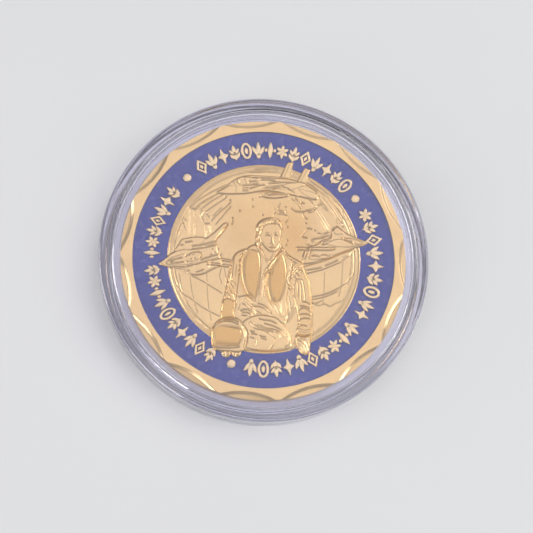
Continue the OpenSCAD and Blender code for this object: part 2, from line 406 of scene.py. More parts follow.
def rim_column(angle, top, offset, sign):
    """Points of the rim's face from its inner edge out to the coin's edge, at one angle."""
    bevel, gap = 0.05, 0.005
    near, far = 0.012, 0.035               # rows of points either side of a crease keep it crisp
    away = off_middle(angle, offset)
    runs = (-far, -near, near, far, WALL_RUN / 2, WALL_RUN - far, WALL_RUN - near, WALL_RUN + near,
            WALL_RUN + far, 0.55 * CUT_RUN, 0.75 * CUT_RUN)
    cut = [min(cut_radius(run, away), COIN_R - gap * (len(runs) - i)) for i, run in enumerate(runs)]
    radii = list(np.linspace(RING_R1 + bevel, cut[0], 7)) + cut[1:] + [COIN_R]
    points = [(RING_R1, FLOOR_TOP - 0.2 if sign > 0 else FLOOR_BACK + 0.2), (RING_R1, top - sign * bevel),
              (RING_R1 + 0.3 * bevel, top - sign * 0.3 * bevel)]
    return points + [(r, top - sign * cut_drop(r, away)) for r in radii]


def build_blank(gold):
    """Rim, edge, pocket floors and core; the rim's creases follow the scallop cuts."""
    steps = SCALLOPS * 48
    columns = []
    for k in range(steps):
        angle = 360 * k / steps
        upper = rim_column(angle, RIM_TOP, FIRST_SCALLOP, 1)
        lower = rim_column(angle, RIM_BOTTOM, FIRST_SCALLOP + 180 / SCALLOPS, -1)
        top_z, low_z = upper[-1][1], lower[-1][1]
        edge = [(COIN_R, top_z + (low_z - top_z) * s) for s in (0.04, 0.25, 0.5, 0.75, 0.96)]
        columns.append(upper + edge + lower[::-1])
    verts, count = [], len(columns[0])
    for k, column in enumerate(columns):
        a = 2 * math.pi * k / steps
        verts.extend((r * math.cos(a), r * math.sin(a), z) for r, z in column)
    faces = []
    for k in range(steps):
        m = (k + 1) % steps
        for i in range(count - 1):
            faces.append((k * count + i, k * count + i + 1, m * count + i + 1, m * count + i))
    # Core between the pocket floors
    core = [(RING_R1 + 0.4, FLOOR_BACK), (RING_R1 + 0.4, FLOOR_TOP), (0, FLOOR_TOP), (0, FLOOR_BACK)]
    core_verts, core_faces = lathe(core, 240)
    # Closes the rim's inner side, which the core stands in
    for k in range(steps):
        m = (k + 1) % steps
        faces.append((k * count, m * count, m * count + count - 1, k * count + count - 1))
    shift = len(verts)
    verts += core_verts
    faces += [[v + shift for v in f] for f in core_faces]
    return new_mesh("coin_blank", verts, faces, "coin", gold, sharp=30)


# ---------------------------------------------------------------- relief

def settled(points):
    """Lays the flat drawing on the coin: a little to the right, and low, most of all on its left side."""
    p = np.asarray(points, float)
    drop = 0.45 - 0.025 * p[..., 0] - 0.001 * (p**2).sum(-1)
    return np.stack([p[..., 0] + 0.22, p[..., 1] - drop], -1)


class Relief:
    """A field of heights over the coin's middle, in millimetres above its field."""

    def __init__(self, low, high, pitch, lay=np.array):
        self.lay = lay                                # how a drawing's points are laid on the coin
        self.x = np.arange(low[0], high[0] + pitch / 2, pitch)
        self.y = np.arange(low[1], high[1] + pitch / 2, pitch)
        self.X, self.Y = np.meshgrid(self.x, self.y, indexing="ij")
        self.h = np.zeros_like(self.X)
        self.support = np.full_like(self.X, -9.0)     # inside distance of what stands above the enamel
        self.tone = np.zeros_like(self.X)             # painted shade and gloss: 0 plain, 1 polished and painted darker, 1.6 painted darker still and tan: see gold_material()
        self.pitch = pitch

    def window(self, low, high):
        """The grid's rows and columns that cover a box."""
        i0, i1 = np.searchsorted(self.x, [low[0], high[0]])
        j0, j1 = np.searchsorted(self.y, [low[1], high[1]])
        return slice(max(i0 - 1, 0), i1 + 1), slice(max(j0 - 1, 0), j1 + 1)

    def distance(self, points, closed, reach):
        """Distance from a line, near it, and the window that it was worked out in."""
        p = np.asarray(points, float)
        win = self.window(p.min(0) - reach, p.max(0) + reach)
        X, Y = self.X[win], self.Y[win]
        d2 = np.full(X.shape, 1e6)
        ends = np.roll(p, -1, 0) if closed else p[1:]
        x, y = self.x[win[0]], self.y[win[1]]
        for a, b in zip(p, ends):
            lo, hi = np.minimum(a, b) - reach, np.maximum(a, b) + reach
            i0, i1 = np.searchsorted(x, [lo[0], hi[0]])
            j0, j1 = np.searchsorted(y, [lo[1], hi[1]])
            if i0 >= i1 or j0 >= j1:
                continue
            sub = (slice(i0, i1), slice(j0, j1))
            e = b - a
            t = np.clip(((X[sub] - a[0]) * e[0] + (Y[sub] - a[1]) * e[1]) / max(e @ e, 1e-12), 0, 1)
            q = (X[sub] - a[0] - t * e[0])**2 + (Y[sub] - a[1] - t * e[1])**2
            d2[sub] = np.minimum(d2[sub], q)
        return win, np.sqrt(d2)

    def signed(self, outline, reach):
        """Distance inside an outline (negative outside), exact within reach of it."""
        win, d = self.distance(outline, True, reach)
        d = np.minimum(d, reach)
        X, Y = self.X[win], self.Y[win]
        inside = np.zeros(X.shape, bool)
        p = np.asarray(outline, float)
        for (x0, y0), (x1, y1) in zip(p, np.roll(p, -1, 0)):
            if y0 == y1:
                continue
            hit = (Y > min(y0, y1)) & (Y <= max(y0, y1))
            inside ^= hit & (X < x0 + (Y - y0) * (x1 - x0) / (y1 - y0))
        return win, np.where(inside, d, -d)

    def form(self, outline, low, high, edge=0.2, dome=0.0, dome_width=1.5, moat=0.02, smooth=True,
             tone=None, over_enamel=False, tilt=(0, 0)):
        """Lays a shape over what is below it: it rises from low at its outline to high, then bulges by dome.

        The moat is a groove round it, and tilt is its slope in x and y."""
        p = self.lay(spline(outline, True) if smooth else outline)
        win, d = self.signed(p, max(edge, dome_width if dome else 0, 0.35) + 0.05)
        t = np.clip(d / edge, 0, 1)
        top = low + (high - low) * t * t * (3 - 2 * t)
        if dome:
            u = 1 - np.clip(d / dome_width, 0, 1)
            top = top + dome * (1 - u * u)
        middle = p.mean(0)
        top = top + t * (tilt[0] * (self.X[win] - middle[0]) + tilt[1] * (self.Y[win] - middle[1]))
        below = self.h[win] - moat * np.exp(-((d + 0.1) / 0.09)**2)
        self.h[win] = np.where(d > 0, top, below)
        # The tone paints shade over the shape: see gold_material()
        if tone is not None:
            self.tone[win] = np.where(d > 0, tone, self.tone[win])
        if over_enamel:
            self.support[win] = np.maximum(self.support[win], d)

    def line(self, points, depth, width, smooth=True):
        """A groove along a line, or a ridge where depth is negative."""
        p = self.lay(spline(points) if smooth else points)
        win, d = self.distance(p, False, 2.6 * width)
        self.h[win] -= depth * np.exp(-(d / width)**2)

    def circle(self, radius, depth, width):
        """A groove round the coin's middle, or a ridge where depth is negative."""
        self.h -= depth * np.exp(-((np.hypot(self.X, self.Y) - radius) / width)**2)

    def crease(self, points, depth, height, width, offset):
        """A fold: a groove with a ridge on its left; offset is how far apart they are."""
        p = spline(points)
        e = np.gradient(p, axis=0)
        side = np.stack([-e[:, 1], e[:, 0]], 1) / np.linalg.norm(e, axis=1)[:, None]
        self.line(p, depth, width, smooth=False)
        self.line(p + side * offset, -height, width, smooth=False)

    def creases(self, fold, lines):
        """The same fold along each line; fold holds crease()'s depth, height, width and offset."""
        for points in lines:
            self.crease(points, *fold)

    def lines(self, depth, width, lines):
        """The same groove or ridge along each line."""
        for points in lines:
            self.line(points, depth, width)

    def shade(self, outline, tone, edge):
        """Paints shade over an area: gives it at least this tone, with a soft edge, without changing its
        height.
        """
        win, d = self.signed(self.lay(spline(outline, True)), edge + 0.05)
        self.tone[win] = np.maximum(self.tone[win], tone * np.clip(0.5 + 0.5 * d / edge, 0, 1))

    def bump(self, x, y, rx, ry, amount, turn=0.0):
        """A soft bump, or a hollow where amount is negative."""
        x, y = self.lay((x, y))
        r = max(rx, ry)
        win = self.window((x - r, y - r), (x + r, y + r))
        c, s = math.cos(math.radians(turn)), math.sin(math.radians(turn))
        u, v = self.X[win] - x, self.Y[win] - y
        q = ((u * c + v * s) / rx)**2 + ((v * c - u * s) / ry)**2
        self.h[win] += amount * np.clip(1 - q, 0, 1)**2

    def mesh(self, field, floor, disc_r, wall=0.09, sink=0.1):
        """The relief as a closed solid: its vertices and faces, and each vertex's cavity and tone.

        It covers the disc and what stands above the enamel. Its walls run down into the pocket's floor."""
        r = np.hypot(self.X, self.Y)
        inside = np.maximum(self.support, disc_r - r)
        t = np.clip(inside / wall + 1, 0, 1)
        z = floor - sink + (field + self.h - floor + sink) * t
        keep = inside > -wall - 1.5 * self.pitch
        cell = keep[:-1, :-1] & keep[1:, :-1] & keep[:-1, 1:] & keep[1:, 1:]
        index = np.arange(z.size).reshape(z.shape)
        a, b = index[:-1, :-1][cell], index[1:, :-1][cell]
        c, d = index[1:, 1:][cell], index[:-1, 1:][cell]
        quads = np.stack([a, b, c, d], 1)
        used, inverse = np.unique(quads, return_inverse=True)
        quads = inverse.reshape(quads.shape)
        top = np.stack([self.X.ravel()[used], self.Y.ravel()[used], z.ravel()[used]], 1)
        # Boundary edges are those that no second cell shares
        starts, ends = quads.ravel(), np.roll(quads, -1, 1).ravel()
        key, back = starts * len(used) + ends, ends * len(used) + starts
        edge = ~np.isin(key, back)
        following = dict(zip(starts[edge].tolist(), ends[edge].tolist()))
        first = next(iter(following))
        loop, at = [first], following[first]
        while at != first:
            loop.append(at)
            at = following[at]
        n = len(used)
        low = top[loop].copy()
        low[:, 2] = floor - 2 * sink
        verts = np.concatenate([top, low])
        faces = quads.tolist()
        for k, v in enumerate(loop):
            m = (k + 1) % len(loop)
            faces.append([loop[m], v, n + k, n + m])
        faces.append([n + k for k in reversed(range(len(loop)))])
        # A cavity is as deep as it lies below the smoothed surface; gold_material() paints shade into it
        soft = self.h.copy()
        for _ in range(10):
            soft[1:-1, 1:-1] = (soft[1:-1, 1:-1] + soft[2:, 1:-1] + soft[:-2, 1:-1]
                                + soft[1:-1, 2:] + soft[1:-1, :-2]) / 5
        cavity = np.clip((soft - self.h) / 0.03, -1, 1)
        pad = np.zeros(len(loop))
        cavity = np.concatenate([cavity.ravel()[used], pad])
        tone = np.concatenate([self.tone.ravel()[used], pad])
        return verts, faces, cavity, tone


def relief_piece(name, relief, field, floor, disc_r, gold, most_faces, turn_over=False):
    """The relief as a piece of the coin, thinned out to a number of faces."""
    verts, faces, cavity, tone = relief.mesh(field, floor, disc_r)
    if turn_over:
        verts = verts * np.array([-1, 1, -1])
    # It is thinned out at one unit per millimetre, which kept fine lines a little better than metres did
    piece = new_mesh(name, np.asarray(verts) / MM, faces, "coin", gold)
    for label, values in (("cavity", cavity), ("tone", tone)):
        attribute = piece.data.attributes.new(label, "FLOAT", "POINT")
        attribute.data.foreach_set("value", values.astype(np.float32))
    thin = piece.modifiers.new("thin", "DECIMATE")
    thin.ratio = min(1.0, most_faces / (2.0 * len(faces)))
    with bpy.context.temp_override(object=piece, active_object=piece, selected_objects=[piece]):
        bpy.ops.object.modifier_apply(modifier=thin.name)
    piece.data.transform(Matrix.Scale(MM, 4))
    piece.data.shade_smooth()
    return piece


# ---------------------------------------------------------------- the design on the face

# Heights above the field
JET, FIGURE, FRONT = 0.12, 0.17, 0.24

# Folds: depth of the groove, height of the ridge on its left, width of both, and how far apart they are
GLOBE_LINE = (0.055, 0.045, 0.055, 0.1)
MERIDIAN = (0.035, 0.015, 0.065, 0.11)
PARALLEL = (0.06, 0.03, 0.07, 0.12)
COAST = (0.06, 0.045, 0.08, 0.12)
SMALL_MARK = (0.05, 0.03, 0.06, 0.1)
PANEL_LINE = (0.065, 0.045, 0.065, 0.11)
LONG_FOLD = (0.04, 0.012, 0.08, 0.13)
ARM_FOLD = (0.065, 0.035, 0.075, 0.12)
SLEEVE_SEAM = (0.05, 0.01, 0.065, 0.11)
SLEEVE_FOLD = (0.07, 0.035, 0.07, 0.12)
STRAP = (0.05, 0.045, 0.075, 0.11)
CLOTH_FOLD = (0.07, 0.04, 0.065, 0.11)
VEST_EDGE = (0.07, 0.06, 0.085, 0.14)
FINGER = (0.06, 0.05, 0.08, 0.13)
SHELL_LINE = (0.07, 0.05, 0.09, 0.15)


def globe(r):
    """Rim lines, hatching, meridians, parallels, stretches of coast, bright bars, beads and small marks."""
    for radius, depth in ((12.5, -0.035), (12.68, 0.02), (12.86, -0.035), (13.2, 0.03), (13.4, -0.045)):
        r.circle(radius, depth, 0.07)
    r.creases(GLOBE_LINE, [
        [(-10.65, 7.2), (-10.7, 5.4), (-10.75, 3.4)], [(-10, 7), (-10.05, 5.2), (-10, 3.5)],
        [(-8.45, 5.1), (-8.5, 4.3), (-8.4, 3.4)], [(-5.6, 10.9), (-7.6, 9.9), (-9.3, 8.8), (-10.5, 7.8)],
        [(-5.4, 10.1), (-7.2, 9.4), (-8.6, 8.6), (-9.7, 7.8)], [(-6.1, 9.5), (-7.7, 8.5), (-9, 7.5)],
        [(-5.7, 9), (-7.3, 7.9), (-8.6, 6.9)], [(-5, 8.4), (-5.8, 7.6), (-6.7, 6.8), (-7.7, 5.7)],
        [(-5, 7.8), (-5.5, 7.2), (-6.3, 6.2), (-7.1, 5.2)], [(-12.6, 2.9), (-12.3, 4.2), (-11.8, 5.4)],
        [(-11.9, 5.7), (-11.4, 6.8), (-10.8, 7.7)], [(7, 7.1), (7.9, 5.6), (8.7, 4.2)],
        [(7.3, 7.2), (8.2, 5.8), (8.9, 4.5)], [(7.6, 8.7), (8.4, 7.8), (9.3, 6.6)],
        [(8, 9.1), (9, 7.9), (10, 6.3), (10.4, 5.3)], [(8.9, 8.9), (10, 7.6), (10.9, 6)],
        [(10.9, 6.6), (11.6, 5.4), (12.1, 4.3)], [(5.7, 11.3), (6.9, 10.6), (8, 9.7)],
        [(5.4, 10.8), (6.7, 10), (7.6, 9.2)], [(6.3, 11.5), (7.6, 10.6), (8.8, 9.6)],
        [(3.6, 8.95), (4.3, 8.3), (4.9, 7.5)], [(4.1, 9), (4.7, 8.4), (5.1, 7.8)],
        [(6.1, 8.8), (6.6, 8.2), (7, 7.6)], [(-1.6, 13.05), (0, 13.1), (1.7, 13)],
        [(-2.9, 12.6), (0, 12.75), (2.6, 12.5)],
    ])
    r.creases(MERIDIAN, [
        [(-8.3, -1.9), (-8.2, -4), (-8, -6.5), (-7.6, -8.5)], [(-10.6, -2.3), (-10.2, -5), (-9.5, -7.5)],
        [(-12.1, -2), (-11.6, -4.5), (-10.9, -6)], [(8.2, -1.8), (8.1, -4), (7.9, -6.3)],
        [(10.8, 0), (10.6, -3), (10.2, -5.2)], [(12, 0.8), (11.9, -1.5), (11.5, -3.6)],
        [(-5.9, -0.9), (-5.7, -2), (-5.4, -3)], [(-6.3, -1.1), (-6.5, -2.2), (-6.2, -3.2)],
    ])
    r.creases(PARALLEL, [
        [(-10.3, -2.2), (-8.4, -3.2), (-6.2, -4.6)], [(-10.9, -5.1), (-8.6, -6.8), (-6.1, -8.1)],
        [(-12.6, -3.3), (-11.9, -4.4), (-11, -5.2)], [(-10.6, -7), (-9.4, -8.6), (-8.2, -9.7)],
        [(6.4, -5.2), (8, -4.9), (10, -4.1), (11.4, -3.1), (12.4, -1.8)],
        [(6.4, -5.6), (8, -5.3), (10, -4.5)], [(6.3, -6.1), (7, -6.1), (7.8, -5.8)],
    ])
    coast = [(6.4, -6.1), (7.3, -6.5), (8.2, -6.3), (8.9, -6.65), (9.6, -6.3), (10.4, -6), (10.9, -5.5)]
    r.crease(coast, 0.045, 0.04, 0.08, 0.12)
    r.creases(COAST, [
        [(3.6, 7.5), (4.2, 7.1), (5.2, 7), (5.9, 7.2), (6.9, 7.35)], [(5, 8.35), (5.4, 8.2)],
        [(6, 6.9), (6.6, 7.1), (7.3, 7.8), (7.9, 8.2)], [(5.2, 6.7), (5.5, 6.2), (5.8, 6)],
        [(-10.5, 7.45), (-10.1, 7.3), (-9.8, 7.4), (-9.4, 7.8)], [(-8.6, 5.3), (-8.3, 5.3), (-8, 5.3)],
        [(-8, 5), (-7.8, 4.5), (-7.6, 4)], [(-9.3, 6.6), (-9, 6), (-8.7, 5.5)],
        [(-9.3, 7.3), (-8.9, 6.9), (-8.9, 6.4)], [(10.2, 6), (10.5, 5.5), (10.9, 5.2), (10.8, 4.7)],
    ])
    r.lines(-0.06, 0.08, [
        [(-8.5, 6.9), (-7.9, 6.2)], [(-11.4, 4.9), (-11.1, 4.4)], [(-11.6, 6.2), (-10.9, 7.4)],
        [(8.8, 7.3), (9.25, 6.6)], [(11.1, 6.2), (11.9, 4.8)], [(10.1, 5.9), (10.2, 5.3)],
        [(-12.6, 3), (-12, 4.5)], [(-8.9, 8.3), (-7.4, 9.1)], [(-7.4, 6.4), (-6.2, 7.6)],
        [(6.1, 10.9), (7.4, 10)], [(7.9, 8), (8.7, 7.1)], [(9.7, 8.5), (10.6, 7.2)],
    ])
    # Beads: a hollow with a bright side
    for x, y in ((-1.95, 8.85), (-1.9, 7.8), (-3.75, 7.2), (-0.5, 6.6), (3, 4.95), (2.95, 2.95),
                 (2.8, 2.3), (-4.75, 6.15), (-4.7, 5.7), (-4.8, 5.3), (-5.7, 9.25), (-5.1, 8.7),
                 (-11.35, 5.8), (-11.65, 5.3), (6.9, 4.35), (5.6, 5.4), (-0.9, 9.25)):
        r.bump(x, y, 0.23, 0.16, -0.1)
        r.bump(x + 0.2, y - 0.06, 0.16, 0.14, 0.06)
    # Small marks behind the head
    r.creases(SMALL_MARK, [
        [(1.1, 7.6), (1.4, 7.1), (1.1, 6.7), (1.15, 6.2)], [(1.5, 7), (1.8, 7.7), (2, 8.3)],
        [(1.8, 7.3), (2.35, 7.25)], [(1.9, 7), (2.5, 7)],
        [(1.6, 6.7), (2.3, 6.7), (2.9, 6.5), (3.1, 6.2)], [(2.6, 7.8), (2.9, 7.75)],
        [(3.1, 5.9), (2.9, 5.7), (2.7, 5.4)], [(2.7, 7.3), (2.9, 6.9)],
    ])
    # Painted shade, and a little gloss, on the field round the head, most of all on its right
    r.shade([(-5, 8.5), (0, 9.3), (5, 8.6), (5.2, 5), (4.8, 1), (2, 0), (-2.4, 1), (-5.4, 1.4), (-5.6, 5)],
            0.4, 1.4)
    r.shade([(2.3, 6.2), (5, 6.6), (5.6, 4.5), (4.8, 1), (3, 0.6), (2.3, 2)], 1.0, 2.2)


def top_jet(r):
    """Side view, nose to the left, with its twin fins over the enamel."""
    for fin in ([(1.9, 11.7), (2.9, 13.9), (3.2, 14.2), (3.95, 14.1), (3.6, 12.6), (3.3, 11.6)],
                [(4.2, 11), (5.4, 13.2), (5.7, 13.35), (6.35, 13), (6, 12.2), (5.6, 11.1)]):
        r.form(fin, 0.04, 0.15, 0.16, smooth=False, over_enamel=True)
    r.line([(2.5, 12), (3.4, 13.9)], 0.035, 0.07)
    r.line([(4.9, 11.4), (5.9, 13)], 0.035, 0.07)
    r.form([(-1.1, 9.85), (-0.4, 9.95), (1, 9.9), (3.2, 9.6), (2.9, 9.2), (1.2, 8.98), (-0.1, 9.08),
            (-0.8, 9.4)], 0.03, JET - 0.02, 0.14, dome=0.04, dome_width=0.4)
    r.form([(-6.95, 9.75), (-5.95, 10.4), (-5, 11.1), (-4, 11.85), (-2.8, 12.2), (-1, 12.15), (1.5, 12),
            (4, 11.6), (6, 10.7), (7.4, 9.5), (7, 8.72), (5, 9.15), (3, 9.55), (1, 9.98), (0, 10.1),
            (-1, 9.95), (-3, 9.62), (-5.5, 9.52)], 0.04, JET, 0.16, dome=0.06, dome_width=1.2)
    r.form([(-5.3, 10.9), (-4.4, 11.6), (-3.2, 12), (-2.2, 11.9), (-1.2, 11.75), (-1.5, 11.3), (-3, 11),
            (-4.3, 10.75)], JET + 0.04, JET + 0.06, 0.12)
    # Panes of the cockpit
    for points, width in (([(-4.65, 11.3), (-4.3, 10.95)], 0.1),
                          ([(-4, 11.5), (-3.85, 11.1), (-3.6, 10.9)], 0.1),
                          ([(-3, 11.75), (-2.8, 11.4), (-2.7, 11.1)], 0.14),
                          ([(-1.3, 11.8), (-1.1, 11.5)], 0.1)):
        r.line(points, -0.06, width)
    r.lines(0.03, 0.06, [
        [(-4.3, 11.5), (-4.05, 11.1)], [(-3.5, 11.7), (-3.3, 11.2)], [(-2.3, 11.8), (-2.35, 11.4)],
    ])
    r.form([(-0.6, 10.5), (1.8, 10.8), (4.3, 11.3), (5.5, 10.95), (4.4, 10.35), (3, 10.25), (1, 10.3)],
           JET + 0.03, JET + 0.09, 0.12)
    r.form([(4.6, 10.3), (6.2, 10), (7.3, 9.4), (7, 8.85), (5.6, 9.3)], JET, JET + 0.05, 0.12)
    r.creases(PANEL_LINE, [
        [(-2.6, 10.47), (-3.3, 10.47)], [(-2.6, 10.1), (-3.3, 10.12)], [(-2.45, 11.25), (-1.4, 11.42)],
        [(-3.4, 10.78), (-2.2, 10.85), (-1.2, 11.05)],
        [(-2.3, 10.3), (-1.8, 10.5), (-1, 10.75), (-0.2, 10.85)],
        [(-0.7, 11.6), (0.2, 11.6), (1.3, 11.42)], [(0.4, 11.05), (2.2, 11.2), (4.2, 11.2)],
        [(-2, 12.05), (0.5, 11.95), (3.3, 11.75)], [(0, 10.55), (1.1, 10.6), (2.3, 10.8)],
        [(1, 10.25), (1.6, 10.4), (2, 10.6)], [(2.2, 10.65), (3.1, 10.3), (3.9, 9.85), (4.5, 9.35)],
        [(0.3, 9.4), (1.5, 9.5), (3, 9.5)], [(-0.3, 9.7), (0.2, 9.4)],
    ])
    r.line([(-0.9, 9.9), (-0.2, 9.6), (0, 9.2)], -0.05, 0.09)
    r.line([(-4.25, 10.6), (-4.3, 9.7)], 0.03, 0.06)


def left_jet(r):
    """Three-quarter view, nose out to the left over the enamel."""
    r.form([(-12.5, 1.2), (-12.2, 2.2), (-11.85, 2.85), (-11.4, 3.05), (-10, 3.32), (-9, 3.3), (-8.2, 3.05),
            (-7, 2.65), (-6.8, 1.7), (-9, 1.5)], 0.04, 0.1, 0.12)
    r.form([(-8.9, 2.6), (-7.5, 3.8), (-6.3, 5), (-5.8, 5.4), (-5.2, 5.3), (-5.55, 4.95), (-6.3, 4.1),
            (-7.05, 2.9), (-7.6, 2.3)], 0.05, 0.14, 0.13, tilt=(0.04, 0))
    r.form([(-14.9, -0.55), (-14.2, 0.05), (-13.3, 0.85), (-12.4, 1.35), (-11.4, 1.58), (-10.2, 1.6),
            (-8.8, 1.95), (-7, 2.45), (-6.75, 1.6), (-6.5, 0.8), (-6.2, 0.1), (-6.2, -0.6), (-7, -1),
            (-8.1, -1.6), (-9, -2), (-10.2, -2.12), (-11.2, -1.65), (-12.1, -1.2), (-13.3, -1.1),
            (-14.3, -0.9)], 0.05, JET, 0.18, dome=0.07, dome_width=1.2, over_enamel=True)
    r.form([(-13.9, -0.4), (-13, 0.35), (-12, 0.75), (-11.3, 0.85), (-11.1, 0), (-11.2, -0.65),
            (-12.4, -0.8), (-13.6, -0.7)], JET + 0.04, JET + 0.09, 0.12)
    r.form([(-11.2, 0.55), (-10.4, 1.05), (-9.5, 1.2), (-9, 0.8), (-9.4, 0.15), (-10.3, -0.25),
            (-11.1, -0.2)], JET + 0.04, JET + 0.12, 0.16, dome=0.02, dome_width=0.4, tilt=(0, 0.03))
    r.creases(PANEL_LINE, [
        [(-13.4, -0.3), (-12.5, 0.1), (-11.7, 0.3)], [(-13.3, -0.5), (-12.3, -0.45), (-11.5, -0.3)],
        [(-10.3, 2), (-8.8, 2.25), (-7.1, 2.72)], [(-10.3, 1.6), (-8.8, 1.8), (-7, 2.2)],
        [(-5.35, 5.15), (-5.8, 4.5), (-6.4, 3.7), (-7, 3)], [(-9.1, 0.05), (-8, 0.45), (-6.6, 0.9)],
        [(-10, -0.65), (-8.5, -0.2), (-6.4, 0.3)], [(-13, -1), (-11.5, -0.95), (-10.2, -0.65)],
        [(-9.7, -1.7), (-9.2, -1.55), (-8.7, -1.35)], [(-11.3, 2.5), (-10.3, 2.7)],
        [(-11.9, 2.1), (-11.55, 2.15)], [(-7.9, 0), (-7.9, -1)],
        [(-11.6, -1.05), (-11.1, -1), (-10.3, -0.75)], [(-10.9, -1.45), (-10.7, -1.5)],
        [(-7.05, 2.9), (-6.9, 2.3), (-6.7, 1.7)], [(-9.5, 1.25), (-9, 0.9), (-9.2, 0.3)],
    ])
    r.line([(-14.6, -0.4), (-13.9, 0.2), (-13.2, 0.7)], -0.05, 0.12)
    r.line([(-6.25, 0.7), (-6.1, 1)], -0.05, 0.12)
    for x, y in ((-10.7, 0.7), (-10.2, 0.8), (-10.5, 0.15), (-9.95, 0.25), (-7.5, 1.65), (-7.2, 1.2),
                 (-7.7, 0.85)):
        r.bump(x, y, 0.18, 0.16, -0.06)
    rod(r, (-6.3, 0.2), (-4.75, -0.05), 0.12, 0.1)
    rod(r, (-8.2, -0.45), (-5, -0.75), 0.13, 0.1)


def right_jet(r):
    """Three-quarter view, nose out to the right over the enamel."""
    r.form([(12.6, 1.6), (10.2, 0.7), (7.8, -0.15), (5.2, -0.9), (5.6, -1.9), (7.9, -1.35), (10.4, -0.35),
            (11.7, 0.6)], 0.04, 0.1, 0.12, smooth=False)
    r.form([(14.5, 2.4), (13.2, 3), (12.2, 3.45), (11.1, 4), (10.5, 4.6), (10, 4.9), (9.4, 4.5),
            (9.15, 3.6), (8.9, 3.2), (8, 3.05), (7.1, 2.3), (6.1, 2), (5.4, 1.3), (5.1, 0.3), (5.4, -0.5),
            (7.8, 0), (10.2, 0.85), (12.4, 1.65), (13.4, 1.85)], 0.05, JET, 0.18, dome=0.07,
            dome_width=1.2, over_enamel=True)
    # Canopy, intake and the pod beneath
    r.form([(9.5, 4.2), (9.95, 4.75), (10.4, 4.5), (11, 3.9), (10.4, 3.6), (9.8, 3.7)], JET + 0.02,
            JET + 0.09, 0.12)
    r.form([(12.5, 1.95), (11.8, 2.45), (10.9, 2.9), (10.2, 3.05), (9.2, 2.8), (8.4, 2.3), (9.8, 1.9),
            (11.2, 1.75)], JET + 0.03, JET + 0.1, 0.14)
    r.form([(6.2, 0.65), (7.3, 0.6), (8.2, 0.85), (9.4, 0.55), (8.6, 0.25), (7.2, 0.1), (6.2, 0.1)], JET,
            JET + 0.07, 0.12)
    r.creases(PANEL_LINE, [
        [(13.7, 2.4), (12.9, 2.85), (12.1, 3.05), (11, 3.15)], [(13.6, 2.1), (12.9, 2.15), (12.5, 2.35)],
        [(7, 2.2), (7.6, 2.7), (8.2, 3.05), (9, 3.1)], [(7.7, 2.3), (8.2, 2.7), (8.9, 2.85)],
        [(7.9, 2.2), (8.5, 2.35), (8.9, 2.65)], [(7.5, 3.15), (8.2, 3.4), (8.9, 3.55)],
        [(8.1, 3.8), (8.5, 3.9), (8.9, 4.05)], [(7.3, 3.9), (7.6, 3.9), (7.9, 3.65)],
        [(5.1, 3.35), (5.4, 3.35), (5.8, 3.25)], [(5, 3.6), (5.4, 4.05), (5.7, 4.4)],
        [(5.8, 4.6), (6.1, 4.6), (6.45, 4.5)], [(6.4, 3), (6.9, 3.1), (7.4, 3.15)],
        [(5.5, 2.75), (5.8, 2.4), (6.1, 2.2)], [(6.3, 2.9), (6.6, 2.5)], [(6.6, 2.75), (6.9, 2.4)],
        [(12.3, 1.45), (11, 1.05), (10.2, 0.75)], [(5.6, -0.75), (7.6, -0.25), (8.8, 0.15)],
        [(8.3, -0.8), (9.2, -0.45), (10.1, -0.05)], [(5.7, -1.4), (6.8, -1.25), (7.8, -1.05)],
        [(6.2, 1.3), (6.1, 0.8), (5.9, 0.3)], [(5.7, 1.3), (5.6, 0.7), (5.4, 0.2)],
        [(9.25, 4), (9.2, 3.5), (9.1, 3.2)], [(9.2, 4.4), (9.6, 4.6), (10, 4.9)],
        [(10.6, 3.1), (11.4, 2.7), (12.2, 2.3)], [(6.4, 0.65), (7, 0.7), (7.5, 0.45)],
        [(7.8, 0.75), (8.3, 0.75), (9.1, 0.5)],
    ])
    r.line([(11, 3), (11.8, 2.7), (12.5, 2.1)], -0.06, 0.1)
    rod(r, (4.5, 1.75), (9.2, 1.6), 0.2, 0.1)
    rod(r, (9.2, 1.6), (9.7, 1.7), 0.1, 0.08)
    r.line([(5.8, 2.1), (5.9, 1.4)], 0.05, 0.07)
    r.line([(6.3, 2.1), (6.4, 1.4)], 0.05, 0.07)


def rod(r, a, b, half_width, height):
    """A thin round bar, such as a missile or a probe."""
    p = r.lay([a, b])
    win, d = r.distance(p, False, half_width + 0.3)
    base = r.h[win] - 0.04 * np.exp(-((d - half_width - 0.08) / 0.08)**2)
    bar = r.h[win] + height * np.sqrt(np.clip(1 - (d / half_width)**2, 0, 1))
    r.h[win] = np.where(d < half_width, bar, base)


